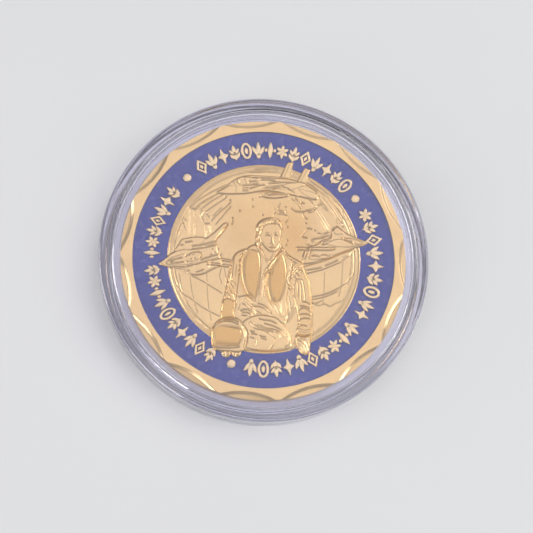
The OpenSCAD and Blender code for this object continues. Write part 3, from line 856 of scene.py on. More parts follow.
def body(r):
    """The kneeling flyer below the neck: far arm, torso, vest, near arm and leg."""
    r.form([(-1.4, 2.3), (-2.8, 1.75), (-3.9, 1.2), (-4.4, 0), (-4.5, -2), (-4.4, -4), (-4.4, -6),
            (-4.2, -9.4), (-1.2, -9.2), (1.3, -9.2), (2.6, -9), (3, -7.5), (2.9, -5.5), (3.3, -3.4),
            (4.4, -2), (4.9, -0.8), (4.2, 0), (3, 0.9), (2.3, 1.9), (1.8, 1), (0.5, 0.6)], 0.05,
            FIGURE - 0.02, 0.2, dome=0.05, dome_width=1.8)
    # Arm that hangs down to the helmet, with painted shade, deeper on the forearm
    r.form([(-2.5, 1.7), (-3.9, 1.3), (-4.6, 0.5), (-5, -0.8), (-5.3, -2.5), (-5.6, -4), (-5.9, -5.5),
            (-6.1, -7.2), (-6.1, -8.6), (-4.5, -8.6), (-4.35, -6.8), (-4.05, -4.8), (-3.85, -3),
            (-3.7, -1.2), (-3.5, 0.4)], 0.06, FIGURE, 0.18, dome=0.05, dome_width=0.8, tone=0.45)
    r.form([(-5.95, -5.6), (-6.15, -7), (-6.1, -8.5), (-4.6, -8.5), (-4.5, -6.9), (-4.3, -5.9),
            (-5.1, -5.4)], 0.1, FIGURE + 0.01, 0.16, dome=0.06, dome_width=0.75, tone=0.9)
    r.creases(LONG_FOLD, [
        [(-4.5, 0.6), (-4.7, -1.2), (-4.8, -2.8)], [(-3.6, 1), (-3.7, -0.4), (-3.75, -2)],
        [(-4.2, -0.6), (-4.3, -2.2)],
    ])
    r.creases(ARM_FOLD, [
        [(-5.6, -3.1), (-5.1, -4.1), (-4.5, -4.9), (-4.2, -6)],
        [(-5.7, -4.2), (-5.1, -5.1), (-4.5, -5.9)], [(-5.4, -2.4), (-5, -3.3), (-4.6, -3.9)],
        [(-5, -2), (-4.8, -2.7), (-4.3, -3.4)], [(-2.4, 2), (-3, 1.3), (-3.4, 1.1)],
        [(-5, -4.2), (-4.5, -4.7), (-4.1, -5)],
    ])
    # Arm that hangs straight down on the right, in a wrinkled sleeve with a little painted shade
    r.form([(3.8, 0.3), (4.9, -0.3), (5.4, -1.4), (6, -2.9), (6.25, -4.8), (6.4, -6.5), (6.45, -8.5),
            (6.3, -10.4), (6.1, -10.7), (4.5, -10.5), (4.55, -8.6), (4.15, -6.5), (3.55, -4.5),
            (3.15, -3.2), (3.4, -2), (3.6, -0.8)], 0.05, FIGURE, 0.18, dome=0.03, dome_width=0.9,
            tone=0.3)
    r.creases(SLEEVE_SEAM, [
        [(4, -3), (4.4, -2.7), (5, -2.8), (5.25, -3.8), (5.4, -5), (5.5, -5.7)],
        [(3, -4.6), (3.3, -5.9), (3.5, -7.6)], [(4.35, -3), (4.45, -4.2), (4.4, -5.3)],
        [(4, -3.1), (3.9, -4.2), (4, -5.4)], [(4.8, -3.2), (4.9, -4.5), (4.9, -5.7)],
    ])
    r.creases(SLEEVE_FOLD, [
        [(2.9, -3.3), (3.2, -3.5), (3.7, -4)], [(3, -3.8), (3.4, -4.1)],
        [(5, -5.9), (5.6, -6), (6.2, -6.4)], [(4.7, -6.5), (5.3, -6.55), (6, -6.9)],
        [(4.4, -7.4), (4.8, -6.95), (5.4, -6.85), (6.2, -7.4)],
        [(4.5, -7.75), (5, -7.7), (5.8, -7.75), (6.2, -8)],
        [(4.3, -8.6), (4.8, -8.4), (5.4, -8.3), (6.1, -8.4)], [(4.4, -9.4), (5, -9.3), (5.6, -9.4)],
    ])
    r.lines(-0.04, 0.1, [
        [(5.1, -1.2), (5.5, -2.2), (5.9, -3), (6, -4.2), (6.1, -5.8)], [(6.1, -8.4), (6.1, -9.3)],
    ])
    r.form([(4.4, -9.7), (5.3, -9.95), (6.35, -9.8), (6.3, -10.5), (5.3, -10.75), (4.4, -10.5)], FIGURE,
            FRONT, 0.12)
    r.line([(4.5, -10.1), (5.3, -10.35), (6.25, -10.15)], 0.035, 0.06)
    # Harness between chest and arm
    r.creases(STRAP, [
        [(3, -2.5), (3.8, -1.6), (4.6, -0.7)], [(3.3, -2.7), (4.1, -1.8), (4.9, -0.9)],
        [(3.2, -1.9), (3.8, -1.2), (4.3, -0.6)], [(3.4, -0.9), (4, -1.6), (4.6, -2.2)],
        [(3.2, -1.4), (3.7, -2), (4.2, -2.6)], [(3.8, -0.6), (4.4, -1.2), (4.9, -1.8)],
    ])
    # Waist folds and belt
    r.creases(CLOTH_FOLD, [
        [(-3.8, -5.2), (-3.2, -5.05), (-2.6, -4.95), (-2, -5.4), (-1.5, -5.8)],
        [(-2.9, -5.2), (-2.2, -5.9), (-1.7, -6.5)], [(-3, -5.6), (-2.3, -6.3), (-1.6, -7), (-1.3, -7.6)],
        [(-3.6, -5.6), (-3.7, -6.3), (-3.9, -6.9)],
        [(-3.4, -6.1), (-2.9, -6.3), (-2.2, -6.9), (-1.7, -7.5)],
        [(-1.7, -6.5), (-0.9, -6.6), (-0.2, -6.9), (0.4, -7.4), (0.9, -7.9)],
        [(-3.6, -7.2), (-3, -6.95), (-2.3, -7.1), (-1.8, -7.8)],
        [(-3.3, -7.4), (-2.7, -7.4), (-2.2, -7.6)], [(-3.4, -7.8), (-2.7, -7.85)],
        [(-1.3, -7.2), (-0.8, -7.5), (-0.4, -7.8)], [(-1.2, -6.1), (-0.5, -6.3), (0.2, -6.7)],
        [(-0.3, -6.1), (0.4, -7), (0.9, -7.8)], [(0.4, -6), (1.1, -7), (1.9, -7.9), (2.6, -8.6)],
        [(2, -6), (2.1, -7), (2.4, -8)], [(1.3, -6.4), (1.7, -7.2), (2.2, -7.9)],
        [(-2.3, -8), (-2.2, -8.4), (-2.4, -8.8)], [(-1.7, -7.9), (-1.5, -8.4), (-1.6, -8.9)],
    ])
    r.lines(-0.07, 0.12, [
        [(2.6, -8.6), (3.3, -7.7), (3.9, -6.5)], [(3, -8.7), (3.6, -7.9), (4.1, -6.9)],
    ])
    # Two smooth panels of the vest
    for outline in ([(-2.6, 1.5), (-1.6, 1.6), (-0.95, 1), (-0.75, -0.5), (-0.9, -2.5), (-1.2, -4.4),
                     (-1.6, -5.4), (-2.4, -4.9), (-3.1, -3.4), (-3.4, -1.5), (-3.3, 0.3)],
                    [(1.9, 1.2), (2.5, 0.6), (2.85, -0.8), (2.85, -2.4), (2.6, -4), (2.1, -5.4),
                     (1.4, -5.9), (0.7, -5.6), (0.3, -4.4), (0.2, -2.8), (0.4, -1.2), (1.1, -0.2)]):
        r.form(outline, 0.08, 0.1, 0.2, dome=0.15, dome_width=1.25, tilt=(0.05, 0))
        # Painted shade, and a little gloss, over both panels
        r.shade(outline, 1.0, 0.3)
    # Deeper, tan painted shade down the left side of each panel
    r.shade([(-3, 0.9), (-2.8, -1), (-2.7, -3), (-2.1, -5.1), (-2.7, -5), (-3.5, -3.4), (-3.6, -1.2),
             (-3.5, 0.6)], 1.6, 0.5)
    r.shade([(0.5, -1), (0.8, -2.8), (1, -4.4), (1.6, -5.7), (0.6, -5.9), (0.1, -4.4), (0, -2.6)], 1.6, 0.5)
    r.creases(VEST_EDGE, [
        [(1.5, 0.9), (0.7, -0.1), (0, -1.1), (-0.5, -1.9)], [(-0.5, -1.9), (-0.65, -3.4), (-0.85, -5.4)],
        [(0.2, -1.2), (-0.15, -2), (-0.2, -3.4), (-0.35, -5)],
    ])
    r.lines(-0.04, 0.1, [
        [(-0.6, -1.7), (-0.8, -3.5), (-1, -5.8)], [(2.9, -0.8), (2.85, -2.8), (2.55, -4.4), (2, -5.7)],
        [(-4.4, -6.3), (-4.6, -8)],
    ])
    r.form([(0.2, -1.3), (0.8, -1.25), (0.75, -1.75), (0.15, -1.8)], FIGURE, FRONT, 0.1, smooth=False)
    # Collar and shoulder seams
    r.lines(-0.1, 0.15, [
        [(-1.4, 2.5), (-0.8, 1.3), (-0.2, 0.3), (0.3, -0.2)], [(2.2, 2), (3, 0.9), (4, 0.2), (4.9, -0.4)],
    ])
    r.crease([(-1.1, 1.9), (-0.6, 0.9), (0.1, -0.2)], 0.07, 0.03, 0.08, 0.14)
    r.crease([(1.9, 1.3), (1.3, 0.5), (0.5, -0.4)], 0.07, 0.05, 0.08, 0.14)
    r.crease([(2.6, 1), (3.4, 0.2), (4.4, -0.6), (5, -1.5)], 0.06, 0.04, 0.08, 0.14)


def leg(r):
    """The near leg, folded under, and the sole line below it."""
    r.form([(-4.2, -12.6), (-4.2, -10.4), (-3.6, -9.1), (-2.4, -8.1), (-0.8, -7.7), (1.2, -8.05),
            (2.1, -8.8), (2.9, -9.8), (3.45, -10.8), (3.6, -11.7), (3.4, -12.3), (2.6, -12.7), (0, -12.9),
            (-2.4, -12.8)], 0.06, FIGURE - 0.02, 0.2, dome=0.07, dome_width=1.2)
    r.creases(CLOTH_FOLD, [
        [(-0.3, -9), (0.8, -9.3), (1.9, -9.8), (2.6, -10.4), (2.9, -10.9)],
        [(-0.9, -9.2), (0, -9.65), (0.9, -9.8), (1.9, -10.2), (2.3, -10.9)],
        [(-1.3, -9.1), (-0.6, -9.55), (0.3, -9.95), (1, -10.2)],
        [(0.2, -10.25), (0.9, -10.8), (1.2, -11.1)],
        [(-2.4, -8.9), (-1.8, -9.5), (-1.2, -9.8), (-0.4, -9.95), (0.2, -10.3)],
        [(-2.2, -8.6), (-1.6, -9.1), (-1, -9.5)], [(-1, -8.3), (-0.3, -8.5), (0.6, -8.6), (1.4, -9)],
        [(-2.2, -10.05), (-1.65, -10.15)], [(-2.1, -10.4), (-1.3, -10.55)],
        [(-2.2, -10.95), (-1.7, -11.1)], [(-0.9, -10.75), (-0.1, -10.9)], [(-0.7, -11.1), (0, -11.3)],
        [(1, -11.3), (0.9, -12), (0.5, -12.7)], [(3.1, -10.9), (3.2, -11.7), (2.6, -12.4)],
        [(-1.4, -11.2), (-1.4, -12)], [(1.2, -10.1), (1.8, -10.5), (2, -11)],
    ])
    r.crease([(-2.8, -12.45), (-1.6, -12.75), (0.2, -12.9), (2, -12.9), (4.2, -12.6)], 0.06, 0.05, 0.09,
              0.14)


def head(r):
    """A plain head of ordinary proportions, calm, turned a little to the right."""
    # Neck
    r.form([(-0.6, 2.4), (-0.5, 1.3), (0, 0.3), (0.6, -0.1), (1.3, 0.7), (1.9, 1.6), (1.9, 2.4)], 0.09,
            0.14, 0.15)
    r.crease([(0.9, 1), (0.7, 0.5), (0.4, 0.1)], 0.03, 0.02, 0.08, 0.12)
    # Ear, skull and face; skull and face have a little painted shade
    r.form(oval(-1.15, 3.35, 0.27, 0.52, -8), 0.12, 0.18, 0.12, dome=0.02, dome_width=0.2)
    r.form([(-0.95, 3.2), (-1.25, 4.2), (-1.1, 5.1), (-0.5, 5.75), (0.4, 6.05), (1.3, 5.95), (1.95, 5.4),
            (2.2, 4.5), (2.15, 3.3), (1.95, 2.3), (1.55, 1.6), (1, 1.2), (0.45, 1.3), (-0.2, 1.85),
            (-0.7, 2.5)], 0.06, 0.16, 0.25, dome=0.07, dome_width=1.3, tone=0.3)
    x = 0.8                                # the face's own middle
    for side, width in ((-1, 1.0), (1, 0.86)):    # the far side is a little narrower
        eye_x = x + side * 0.6 * width
        r.bump(x + side * 0.62 * width, 4, 0.52 * width, 0.2, 0.05, side * -6)
        r.bump(eye_x, 3.58, 0.46 * width, 0.28, -0.06)
        r.bump(x + side * 0.62 * width, 3.56, 0.3 * width, 0.17, 0.055)
        r.line([(x + side * 0.32, 3.54), (eye_x, 3.68), (x + side * 0.92 * width, 3.56)], 0.06, 0.05)
        r.line([(x + side * 0.26, 3.98), (eye_x, 4.1), (x + side * width, 3.98)], 0.03, 0.06)
        r.bump(x + side * 0.85 * width, 2.8, 0.55 * width, 0.5, 0.035)
        r.bump(x + side * 0.22, 2.42, 0.15, 0.13, 0.06)
    # Nose, from bridge to tip
    for k in range(9):
        s = k / 8
        r.bump(x + 0.08 * s, 3.85 - 1.35 * s, 0.17 + 0.08 * s, 0.26, 0.02 + 0.022 * s)
    # Lip and chin
    r.bump(x + 0.05, 2.26, 0.26, 0.09, -0.03)
    r.line([(x - 0.48, 1.89), (x, 1.93), (x + 0.44, 1.89)], 0.07, 0.05)
    r.bump(x, 2.06, 0.36, 0.1, 0.03)
    r.bump(x, 1.79, 0.3, 0.12, 0.035)
    r.bump(x, 1.6, 0.34, 0.1, -0.02)
    r.bump(x, 1.38, 0.42, 0.24, 0.05)
    # Hair: short at the side, combed across
    r.form([(-1, 3.7), (-1.35, 4.3), (-1.3, 5.1), (-0.8, 5.75), (0.1, 6.15), (1.1, 6.15), (1.9, 5.75),
            (2.3, 4.9), (2.25, 4.2), (2, 4.6), (1.7, 5.1), (0.9, 5.25), (0.1, 5.1), (-0.4, 4.8),
            (-0.6, 4.2), (-0.8, 3.9)], 0.15, 0.24, 0.2, dome=0.03, dome_width=0.5)
    # Locks, fanned out from the parting
    for k in range(9):
        s = k / 8
        start = (-1 + 2.1 * s, 4.3 + 1.1 * math.sin(2.2 * s))
        middle = (-0.9 + 2.3 * s, 5 + 0.75 * math.sin(2.4 * s))
        end = (-0.45 + 2.3 * s, 5.5 + 0.5 * math.sin(2.4 * s))
        r.crease([start, middle, end], 0.05, 0.05, 0.06, 0.12)
    r.line([(-1.2, 3.05), (-1.25, 3.5), (-1.1, 3.72)], 0.04, 0.05)


def helmet_and_fist(r):
    """The fist at the end of the straight arm, and the helmet that the other hand holds."""
    r.form([(4.2, -10.7), (4.05, -11.6), (4.35, -12.6), (4.9, -13.35), (5.7, -13.45), (6.15, -12.6),
            (6.25, -11.4), (6.2, -10.7), (5.2, -10.95)], 0.06, 0.22, 0.2, dome=0.03, dome_width=0.8,
            over_enamel=True)
    r.creases(FINGER, [
        [(4.3, -11.4), (4.9, -11.7), (5.4, -12.4), (5.6, -13.1)],
        [(4.4, -12), (4.9, -12.4), (5.1, -13.1)], [(5, -11.2), (5.6, -11.8), (5.9, -12.7)],
        [(4.6, -11), (5, -11.3), (5.1, -11.9)],
    ])
    # Fingers that hold it from below
    for x, y in ((-5.5, -13.15), (-4.1, -13.1)):
        r.form(oval(x, y, 0.68, 0.65), 0.05, 0.1, 0.1, dome=0.14, dome_width=0.6, smooth=False,
               over_enamel=True)
        for side in (-0.3, 0.28):
            r.bump(x + side, y - 0.1, 0.28, 0.4, 0.06)
            r.line([(x + side, y + 0.3), (x + side + 0.1, y - 0.2)], -0.05, 0.07)
        r.line([(x, y + 0.2), (x, y - 0.5)], 0.08, 0.08)
    r.form([(-7.55, -10.7), (-7.35, -9.6), (-6.85, -8.75), (-6, -8.15), (-4.9, -8), (-3.9, -8.25),
            (-3.2, -9), (-2.65, -9.8), (-2.45, -10.8), (-2.7, -12), (-3.5, -13.05), (-5, -13),
            (-6.9, -12.75), (-7.5, -11.9)], 0.07, 0.19, 0.22, dome=0.05, dome_width=1, over_enamel=True)
    visor = [(-7.3, -10.5), (-6.95, -9.7), (-6.1, -9.3), (-4.8, -9.4), (-3.6, -9.7), (-3.3, -10.4),
             (-3.5, -11.4), (-3.9, -12), (-5.2, -12.15), (-6.6, -12), (-7.2, -11.5)]
    r.form(visor, 0.1, 0.13, 0.25, dome=0.14, dome_width=1.6, moat=0.04, tilt=(0.02, 0))
    # Painted shade, and a little gloss, over the visor; deeper and tan down its left side
    r.shade(visor, 1.0, 0.3)
    r.shade([(-7.5, -9.6), (-6.9, -9.9), (-6.8, -11), (-6.9, -12.2), (-7.6, -12)], 1.6, 0.5)
    r.creases(SHELL_LINE, [
        [(-7.1, -9.3), (-6.3, -8.75), (-5, -8.7), (-3.9, -9.1)],
        [(-3.3, -9.3), (-3, -10.2), (-2.9, -11.2), (-3.2, -12.3)],
        [(-7, -12.4), (-5.5, -12.5), (-3.7, -12.35)],
        [(-6.7, -8.95), (-5.8, -8.4), (-4.8, -8.35), (-3.8, -8.7)],
    ])


def build_obverse(gold):
    """The relief of the visible face: jets and flyer before a globe."""
    r = Relief((-15.3, -14.8), (15.1, 14.6), 0.05, settled)
    globe(r)
    top_jet(r)
    left_jet(r)
    right_jet(r)
    body(r)
    leg(r)
    head(r)
    helmet_and_fist(r)
    r.h = np.clip(r.h, -0.1, 0.32)
    return relief_piece("coin_obverse_relief", r, FIELD_TOP, FLOOR_TOP, RING_R0, gold, 190000)


def build_reverse(gold):
    """A plain star in a ring, laurel and beads: the back isn't seen, so it's kept general.

    It is modelled face up and turned over."""
    bead_r, laurel_r = 13.4, 11.4
    star_tip, star_notch = 7.5, 3.1
    r = Relief((-15.8, -15.8), (15.8, 15.8), 0.07)
    radius = np.hypot(r.X, r.Y)
    border = np.clip((radius - 14.95) / 0.12, 0, 1)
    r.h = FIELD_DROP * border * border * (3 - 2 * border)
    r.circle(14.3, -0.08, 0.12)
    r.circle(9.8, -0.2, 0.2)
    points = [(d * math.sin(math.radians(36 * i)), d * math.cos(math.radians(36 * i)))
              for i, d in enumerate([star_tip, star_notch] * 5)]
    r.form(points, 0.05, 0.1, 0.15, smooth=False)
    win, d = r.signed(np.array(points), 2.6)
    r.h[win] += np.where(d > 0, 0.14 * np.clip(d / 1.9, 0, 1), 0)
    for i in range(10):
        a = math.radians(36 * i)
        reach, depth = (7.3, -0.03) if i % 2 == 0 else (3, 0.03)
        r.line([(0, 0), (reach * math.sin(a), reach * math.cos(a))], depth, 0.09, smooth=False)
    for i in range(60):
        a = math.radians(6 * i + 3)
        r.bump(bead_r * math.sin(a), bead_r * math.cos(a), 0.34, 0.34, 0.16)
    # Two laurel branches round the ring
    for side in (-1, 1):
        stem = [(side * laurel_r * math.sin(t), -laurel_r * math.cos(t))
                for t in map(math.radians, range(6, 151, 8))]
        r.line(stem, -0.1, 0.13)
        for a in range(12, 146, 9):
            t = math.radians(a)
            x, y = side * laurel_r * math.sin(t), -laurel_r * math.cos(t)
            for spread in (-34, 34):
                blade = leaf(x, y, 1.5, 0.62, side * (90 - a) + spread)
                r.form(blade, 0.04, 0.11, 0.1, dome=0.06, dome_width=0.3, smooth=False)
    r.h = np.clip(r.h, -0.09, 0.27)
    return relief_piece("coin_reverse_relief", r, -FIELD_BACK, -FLOOR_BACK, BACK_R0, gold, 150000,
                        turn_over=True)


# ---------------------------------------------------------------- the capsule

SEAT_R = COIN_R + 0.15
GROOVE_R0 = SEAT_R + 0.9                   # the seat ring's wall is 0.9 thick, and the groove 1.0 wide
GROOVE_R1 = GROOVE_R0 + 1.0
PLUG_PLAY = 0.05                           # of the lid's plug in the base's groove
FLOOR_Z = RIM_BOTTOM                       # top of the base's window
WINDOW_Z = RIM_TOP + 0.2                   # underside of the lid's window
SEAM_Z, SEAM_GAP = CAPSULE_H / 2, 0.05
GUARD = 0.3                                # how far both windows lie inside their guard rims
GUARD_R = CAPSULE_R - 1.6


def build_base(clear):
    """The lower half, with its window, foot ring, outer wall, groove and seat ring."""
    top = SEAM_Z - SEAM_GAP / 2
    corners = [(0, GUARD, 0), (GUARD_R - 0.2, GUARD, 0.1), (GUARD_R, 0, 0.1), (CAPSULE_R, 0, 0.5),
               (CAPSULE_R, top, 0.12), (GROOVE_R1, top, 0.1), (GROOVE_R1, FLOOR_Z, 0.1),
               (GROOVE_R0, FLOOR_Z, 0.1), (GROOVE_R0, BASE_TOP, 0.15), (SEAT_R, BASE_TOP, 0.2),
               (SEAT_R, FLOOR_Z, 0.06), (0, FLOOR_Z, 0)]
    verts, faces = lathe(fillet(corners), 288)
    return new_mesh("capsule_base_moulding", verts, faces, "capsule_base", clear, sharp=60)


def build_lid(clear):
    """The upper half, with its window, guard rim, outer wall and plug ring."""
    low = SEAM_Z + SEAM_GAP / 2
    plug_r0, plug_r1 = GROOVE_R0 + PLUG_PLAY, GROOVE_R1 - PLUG_PLAY
    corners = [(0, WINDOW_Z, 0), (plug_r0, WINDOW_Z, 0.25), (plug_r0, LID_LOW[2], 0.15),
               (plug_r1, LID_LOW[2], 0.15), (plug_r1, low, 0.06), (CAPSULE_R, low, 0.12),
               (CAPSULE_R, CAPSULE_H, 0.5), (GUARD_R, CAPSULE_H, 0.1),
               (GUARD_R - 0.2, CAPSULE_H - GUARD, 0.1), (0, CAPSULE_H - GUARD, 0)]
    verts, faces = lathe(fillet(corners), 288)
    return new_mesh("capsule_lid_moulding", verts, faces, "capsule_lid", clear, sharp=60)


# ---------------------------------------------------------------- materials

class Nodes:
    """A material's node tree, with short calls for the nodes that are used here."""

    def __init__(self, name):
        self.material = bpy.data.materials.new(name)
        self.material.use_nodes = True
        self.tree = self.material.node_tree
        self.shader = self.tree.nodes["Principled BSDF"]
        self.output = self.tree.nodes["Material Output"]
        self.place = self.add("ShaderNodeTexCoord").outputs["Object"]

    def add(self, kind, **settings):
        """A new node; each setting is an input's value, or else a property of the node."""
        node = self.tree.nodes.new(kind)
        for key, value in settings.items():
            if key in node.inputs:
                node.inputs[key].default_value = value
            else:
                setattr(node, key, value)
        return node

    def link(self, a, b):
        self.tree.links.new(a, b)

    def noise(self, scale, detail, stretch=None):
        """Noise in the object's own metres; stretch packs it closer along the axes with large numbers."""
        node = self.add("ShaderNodeTexNoise", Scale=scale, Detail=detail, Roughness=0.5)
        place = self.place
        if stretch:
            mapping = self.add("ShaderNodeMapping", Scale=stretch)
            self.link(place, mapping.inputs["Vector"])
            place = mapping.outputs["Vector"]
        self.link(place, node.inputs["Vector"])
        return node.outputs["Fac"]

    def ramp(self, value, low, high, to_low, to_high):
        """The value, carried from one range to another and held at its ends."""
        node = self.add("ShaderNodeMapRange")
        for key, number in (("From Min", low), ("From Max", high), ("To Min", to_low), ("To Max", to_high)):
            node.inputs[key].default_value = number
        self.link(value, node.inputs["Value"])
        return node.outputs["Result"]

    def mix(self, factor, a, b):
        """A colour between a and b; each of them is a socket or a colour."""
        node = self.add("ShaderNodeMix", data_type="RGBA")
        for socket, value in ((node.inputs[0], factor), (node.inputs[6], a), (node.inputs[7], b)):
            if isinstance(value, bpy.types.NodeSocket):
                self.link(value, socket)
            elif socket is node.inputs[0]:
                socket.default_value = value
            else:
                socket.default_value = (*value, 1)
        return node.outputs[2]

    def math(self, operation, a, b):
        node = self.add("ShaderNodeMath", operation=operation)
        for socket, value in zip(node.inputs, (a, b)):
            if isinstance(value, bpy.types.NodeSocket):
                self.link(value, socket)
            else:
                socket.default_value = value
        return node.outputs[0]

    def attribute(self, name):
        return self.add("ShaderNodeAttribute", attribute_name=name).outputs["Fac"]

    def bump(self, height, strength, distance, after=None):
        node = self.add("ShaderNodeBump", Strength=strength, Distance=distance)
        self.link(height, node.inputs["Height"])
        if after is not None:
            self.link(after, node.inputs["Normal"])
        return node.outputs["Normal"]


GOLD = (0.95, 0.67, 0.315)
GOLD_PAINTED_HOLLOW_SHADE = (0.48, 0.32, 0.125)            # painted shade in cavities
GOLD_PAINTED_SHADE = (0.83, 0.51, 0.18)         # painted shade of polished parts, at tone 1
GOLD_PAINTED_DEEP_SHADE = (0.62, 0.44, 0.2)            # deeper, tan painted shade, at tone 1.6
GOLD_PALE = (1.0, 0.77, 0.45)
BLUES = (0.037, 0.047, 0.24), (0.046, 0.057, 0.285)
CLEARS = (0.9, 0.89, 0.975), (0.93, 0.92, 0.985)
PALES = (0.78, 0.78, 0.79), (0.82, 0.82, 0.83)


def gold_material(name, roughness, relief=False, tint=GOLD):
    """Gold plate with a fine grain; on relief, shade is painted into its colour by the mesh's cavity and
    tone.
    """
    n = Nodes(name)
    s = n.shader
    s.inputs["Metallic"].default_value = 1.0
    cloud = n.noise(220, 4)
    grain = n.noise(9000, 2)
    hairs = n.noise(1500, 2, stretch=(1, 14, 1))
    dim, bright = tuple(0.96 * c for c in tint), tuple(min(1, 1.03 * c) for c in tint)
    colour = n.mix(n.ramp(cloud, 0.3, 0.7, 0, 1), dim, bright)
    wear = n.math("ADD", cloud, n.math("MULTIPLY", hairs, 0.5))
    rough = n.ramp(wear, 0.5, 1.0, roughness - 0.04, roughness + 0.05)
    if relief:
        cavity, tone = n.attribute("cavity"), n.attribute("tone")
        # Painted shade: the cavities are darkened
        colour = n.mix(n.ramp(cavity, 0.05, 1, 0, 0.45), colour, GOLD_PAINTED_HOLLOW_SHADE)
        # Painted shade by tone: darker up to tone 1, then tan; toned areas are also a little glossier
        colour = n.mix(n.ramp(tone, 0, 1, 0, 1), colour, GOLD_PAINTED_SHADE)
        colour = n.mix(n.ramp(tone, 1, 1.6, 0, 1), colour, GOLD_PAINTED_DEEP_SHADE)
        rough = n.math("SUBTRACT", rough, n.math("MULTIPLY", n.ramp(tone, 0, 1, 0, 1), 0.06))
    n.link(colour, s.inputs["Base Color"])
    n.link(rough, s.inputs["Roughness"])
    n.link(n.bump(hairs, 0.08, 0.00002, n.bump(grain, 0.12, 0.000012)), s.inputs["Normal"])
    return n.material


def enamel_material():
    """Soft blue enamel, gently wavy, under a glossy coat."""
    n = Nodes("blue_enamel")
    s = n.shader
    cloud, waves = n.noise(160, 3), n.noise(900, 2)
    colour = n.mix(n.ramp(cloud, 0.3, 0.7, 0, 1), *BLUES)
    n.link(colour, s.inputs["Base Color"])
    n.link(n.ramp(waves, 0.3, 0.7, 0.2, 0.3), s.inputs["Roughness"])
    s.inputs["Coat Weight"].default_value = 0.5
    s.inputs["Coat Roughness"].default_value = 0.08
    n.link(n.bump(waves, 0.25, 0.00002), s.inputs["Normal"])
    return n.material


def clear_material():
    """Clear moulded acrylic: real refraction, but lamps shine through it on to the coin."""
    n = Nodes("clear_acrylic")
    s = n.shader
    scuffs = n.noise(700, 3, stretch=(1, 6, 1))
    flow = n.noise(60, 2)
    n.link(n.mix(n.ramp(flow, 0.3, 0.7, 0, 1), *CLEARS), s.inputs["Base Color"])
    n.link(n.ramp(scuffs, 0.5, 0.8, 0.0, 0.012), s.inputs["Roughness"])
    s.inputs["IOR"].default_value = 1.49
    s.inputs["Transmission Weight"].default_value = 1.0
    n.link(n.bump(flow, 0.005, 0.00001), s.inputs["Normal"])
    through = n.add("ShaderNodeBsdfTransparent", Color=(0.96, 0.96, 0.985, 1))
    path = n.add("ShaderNodeLightPath")
    mixed = n.add("ShaderNodeMixShader")
    n.link(path.outputs["Is Shadow Ray"], mixed.inputs[0])
    n.link(s.outputs[0], mixed.inputs[1])
    n.link(through.outputs[0], mixed.inputs[2])
    n.link(mixed.outputs[0], n.output.inputs["Surface"])
    return n.material


def floor_material():
    """Plain pale grey, very slightly uneven."""
    n = Nodes("pale_floor")
    n.link(n.mix(n.noise(8, 3), *PALES), n.shader.inputs["Base Color"])
    n.shader.inputs["Roughness"].default_value = 0.7
    return n.material


# ---------------------------------------------------------------- floor, lights and camera

def build_floor():
    """A plain square floor under the capsule; half is half its side."""
    half = 1500.0 * MM
    mesh = bpy.data.meshes.new("floor")
    corners = [(-half, -half, 0), (half, -half, 0), (half, half, 0), (-half, half, 0)]
    mesh.from_pydata(corners, [], [(0, 1, 2, 3)])
    floor = bpy.data.objects.new("floor", mesh)
    bpy.context.scene.collection.objects.link(floor)
    mesh.materials.append(floor_material())


def soft_light(name, place, size, brightness, colour=(1, 1, 1)):
    """A square softbox at place, in metres, aimed at the capsule; brightness 1 shows as plain white."""
    lamp = bpy.data.lights.new(name, "AREA")
    lamp.shape = "SQUARE"
    lamp.size = size
    lamp.energy = brightness * math.pi * size**2
    lamp.color = colour
    piece = bpy.data.objects.new(name, lamp)
    bpy.context.scene.collection.objects.link(piece)
    piece.location = place
    piece.rotation_euler = (Vector((0, 0, 0.003)) - Vector(place)).to_track_quat("-Z", "Y").to_euler()


def build_lights():
    """A dim pale surround, two broad lamps above, and small bright ones for the rim and the relief."""
    world = bpy.data.worlds.new("studio")
    bpy.context.scene.world = world
    world.use_nodes = True
    background = world.node_tree.nodes["Background"]
    background.inputs["Color"].default_value = (0.94, 0.945, 0.975, 1)
    background.inputs["Strength"].default_value = 0.38
    soft_light("ceiling", (0.3, 0.06, 0.75), 1.5, 0.3)
    soft_light("overhead", (0.06, 0.15, 0.55), 0.44, 0.4, (1, 0.985, 0.97))
    soft_light("right", (0.45, -0.12, 0.2), 0.2, 4.8, (0.97, 1, 0.94))
    soft_light("upper_right", (0.4, 0.22, 0.3), 0.22, 4.0)
    soft_light("left", (-0.45, 0.05, 0.26), 0.2, 2.8)
    soft_light("low_left", (-0.5, 0.03, 0.1), 0.24, 3.0)
    soft_light("lower_left", (-0.36, -0.34, 0.11), 0.26, 4.0)


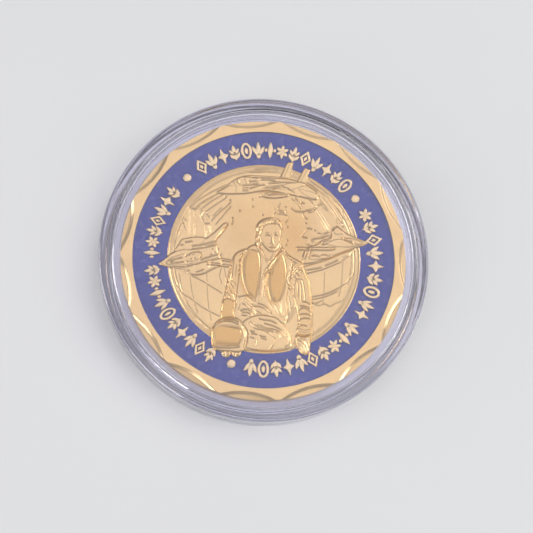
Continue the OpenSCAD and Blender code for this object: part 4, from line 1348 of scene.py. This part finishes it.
def upright(forward):
    """The right and up axes of a view along forward, with the top of the coin's design upwards."""
    right = forward.cross(Vector((0, 1, 0))).normalized()
    return right, right.cross(forward)


def build_camera():
    """Nearly overhead and close, a little to the lower left."""
    distance, elevation, azimuth = 0.2, math.radians(75.5), math.radians(-22.5)
    aside, below = 0.00044, 0.00086        # how far the view's middle lies from the capsule's
    middle = Vector((0, 0, CAPSULE_H / 2 * MM))
    level = math.cos(elevation)
    away = Vector((math.sin(azimuth) * level, -math.cos(azimuth) * level, math.sin(elevation)))
    data = bpy.data.cameras.new("camera")
    data.sensor_width = 36
    data.lens = 96.1
    camera = bpy.data.objects.new("camera", data)
    bpy.context.scene.collection.objects.link(camera)
    place = middle + away * distance
    camera.location = place
    right, up = upright(-away)
    forward = (middle + right * aside - up * below - place).normalized()
    right, up = upright(forward)
    camera.rotation_euler = Matrix((right, up, -forward)).transposed().to_euler()
    bpy.context.scene.camera = camera


# ---------------------------------------------------------------- the scene

build_camera()
build_floor()
build_lights()
bpy.context.scene.view_settings.view_transform = "Standard"

gold_polished = gold_material("gold_polished", 0.16)
gold_satin = gold_material("gold_satin", 0.22, relief=True)
blue = enamel_material()
clear = clear_material()

blank = build_blank(gold_polished)
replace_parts(blank, "coin_body")
build_ornaments(gold_material("gold_pale", 0.2, tint=GOLD_PALE))
build_back_leaves(gold_polished)
build_obverse(gold_satin)
build_reverse(gold_satin)
ring = build_enamel_ring("enamel_obverse_ring", RING_R0, RING_R1, FLOOR_TOP - 0.02, ENAMEL_TOP, blue)
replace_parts(ring, "enamel_obverse")
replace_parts(build_pools(blue), "enamel_obverse_pools")
# The back's ring is modelled face up and turned over
back_ring = build_enamel_ring("enamel_reverse_ring", BACK_R0, RING_R1, -(FLOOR_BACK + 0.02), -ENAMEL_BACK,
                              blue)
for vertex in back_ring.data.vertices:
    vertex.co = (-vertex.co.x, vertex.co.y, -vertex.co.z)
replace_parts(back_ring, "enamel_reverse")
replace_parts(build_base(clear), "capsule_base")
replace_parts(build_lid(clear), "capsule_lid")
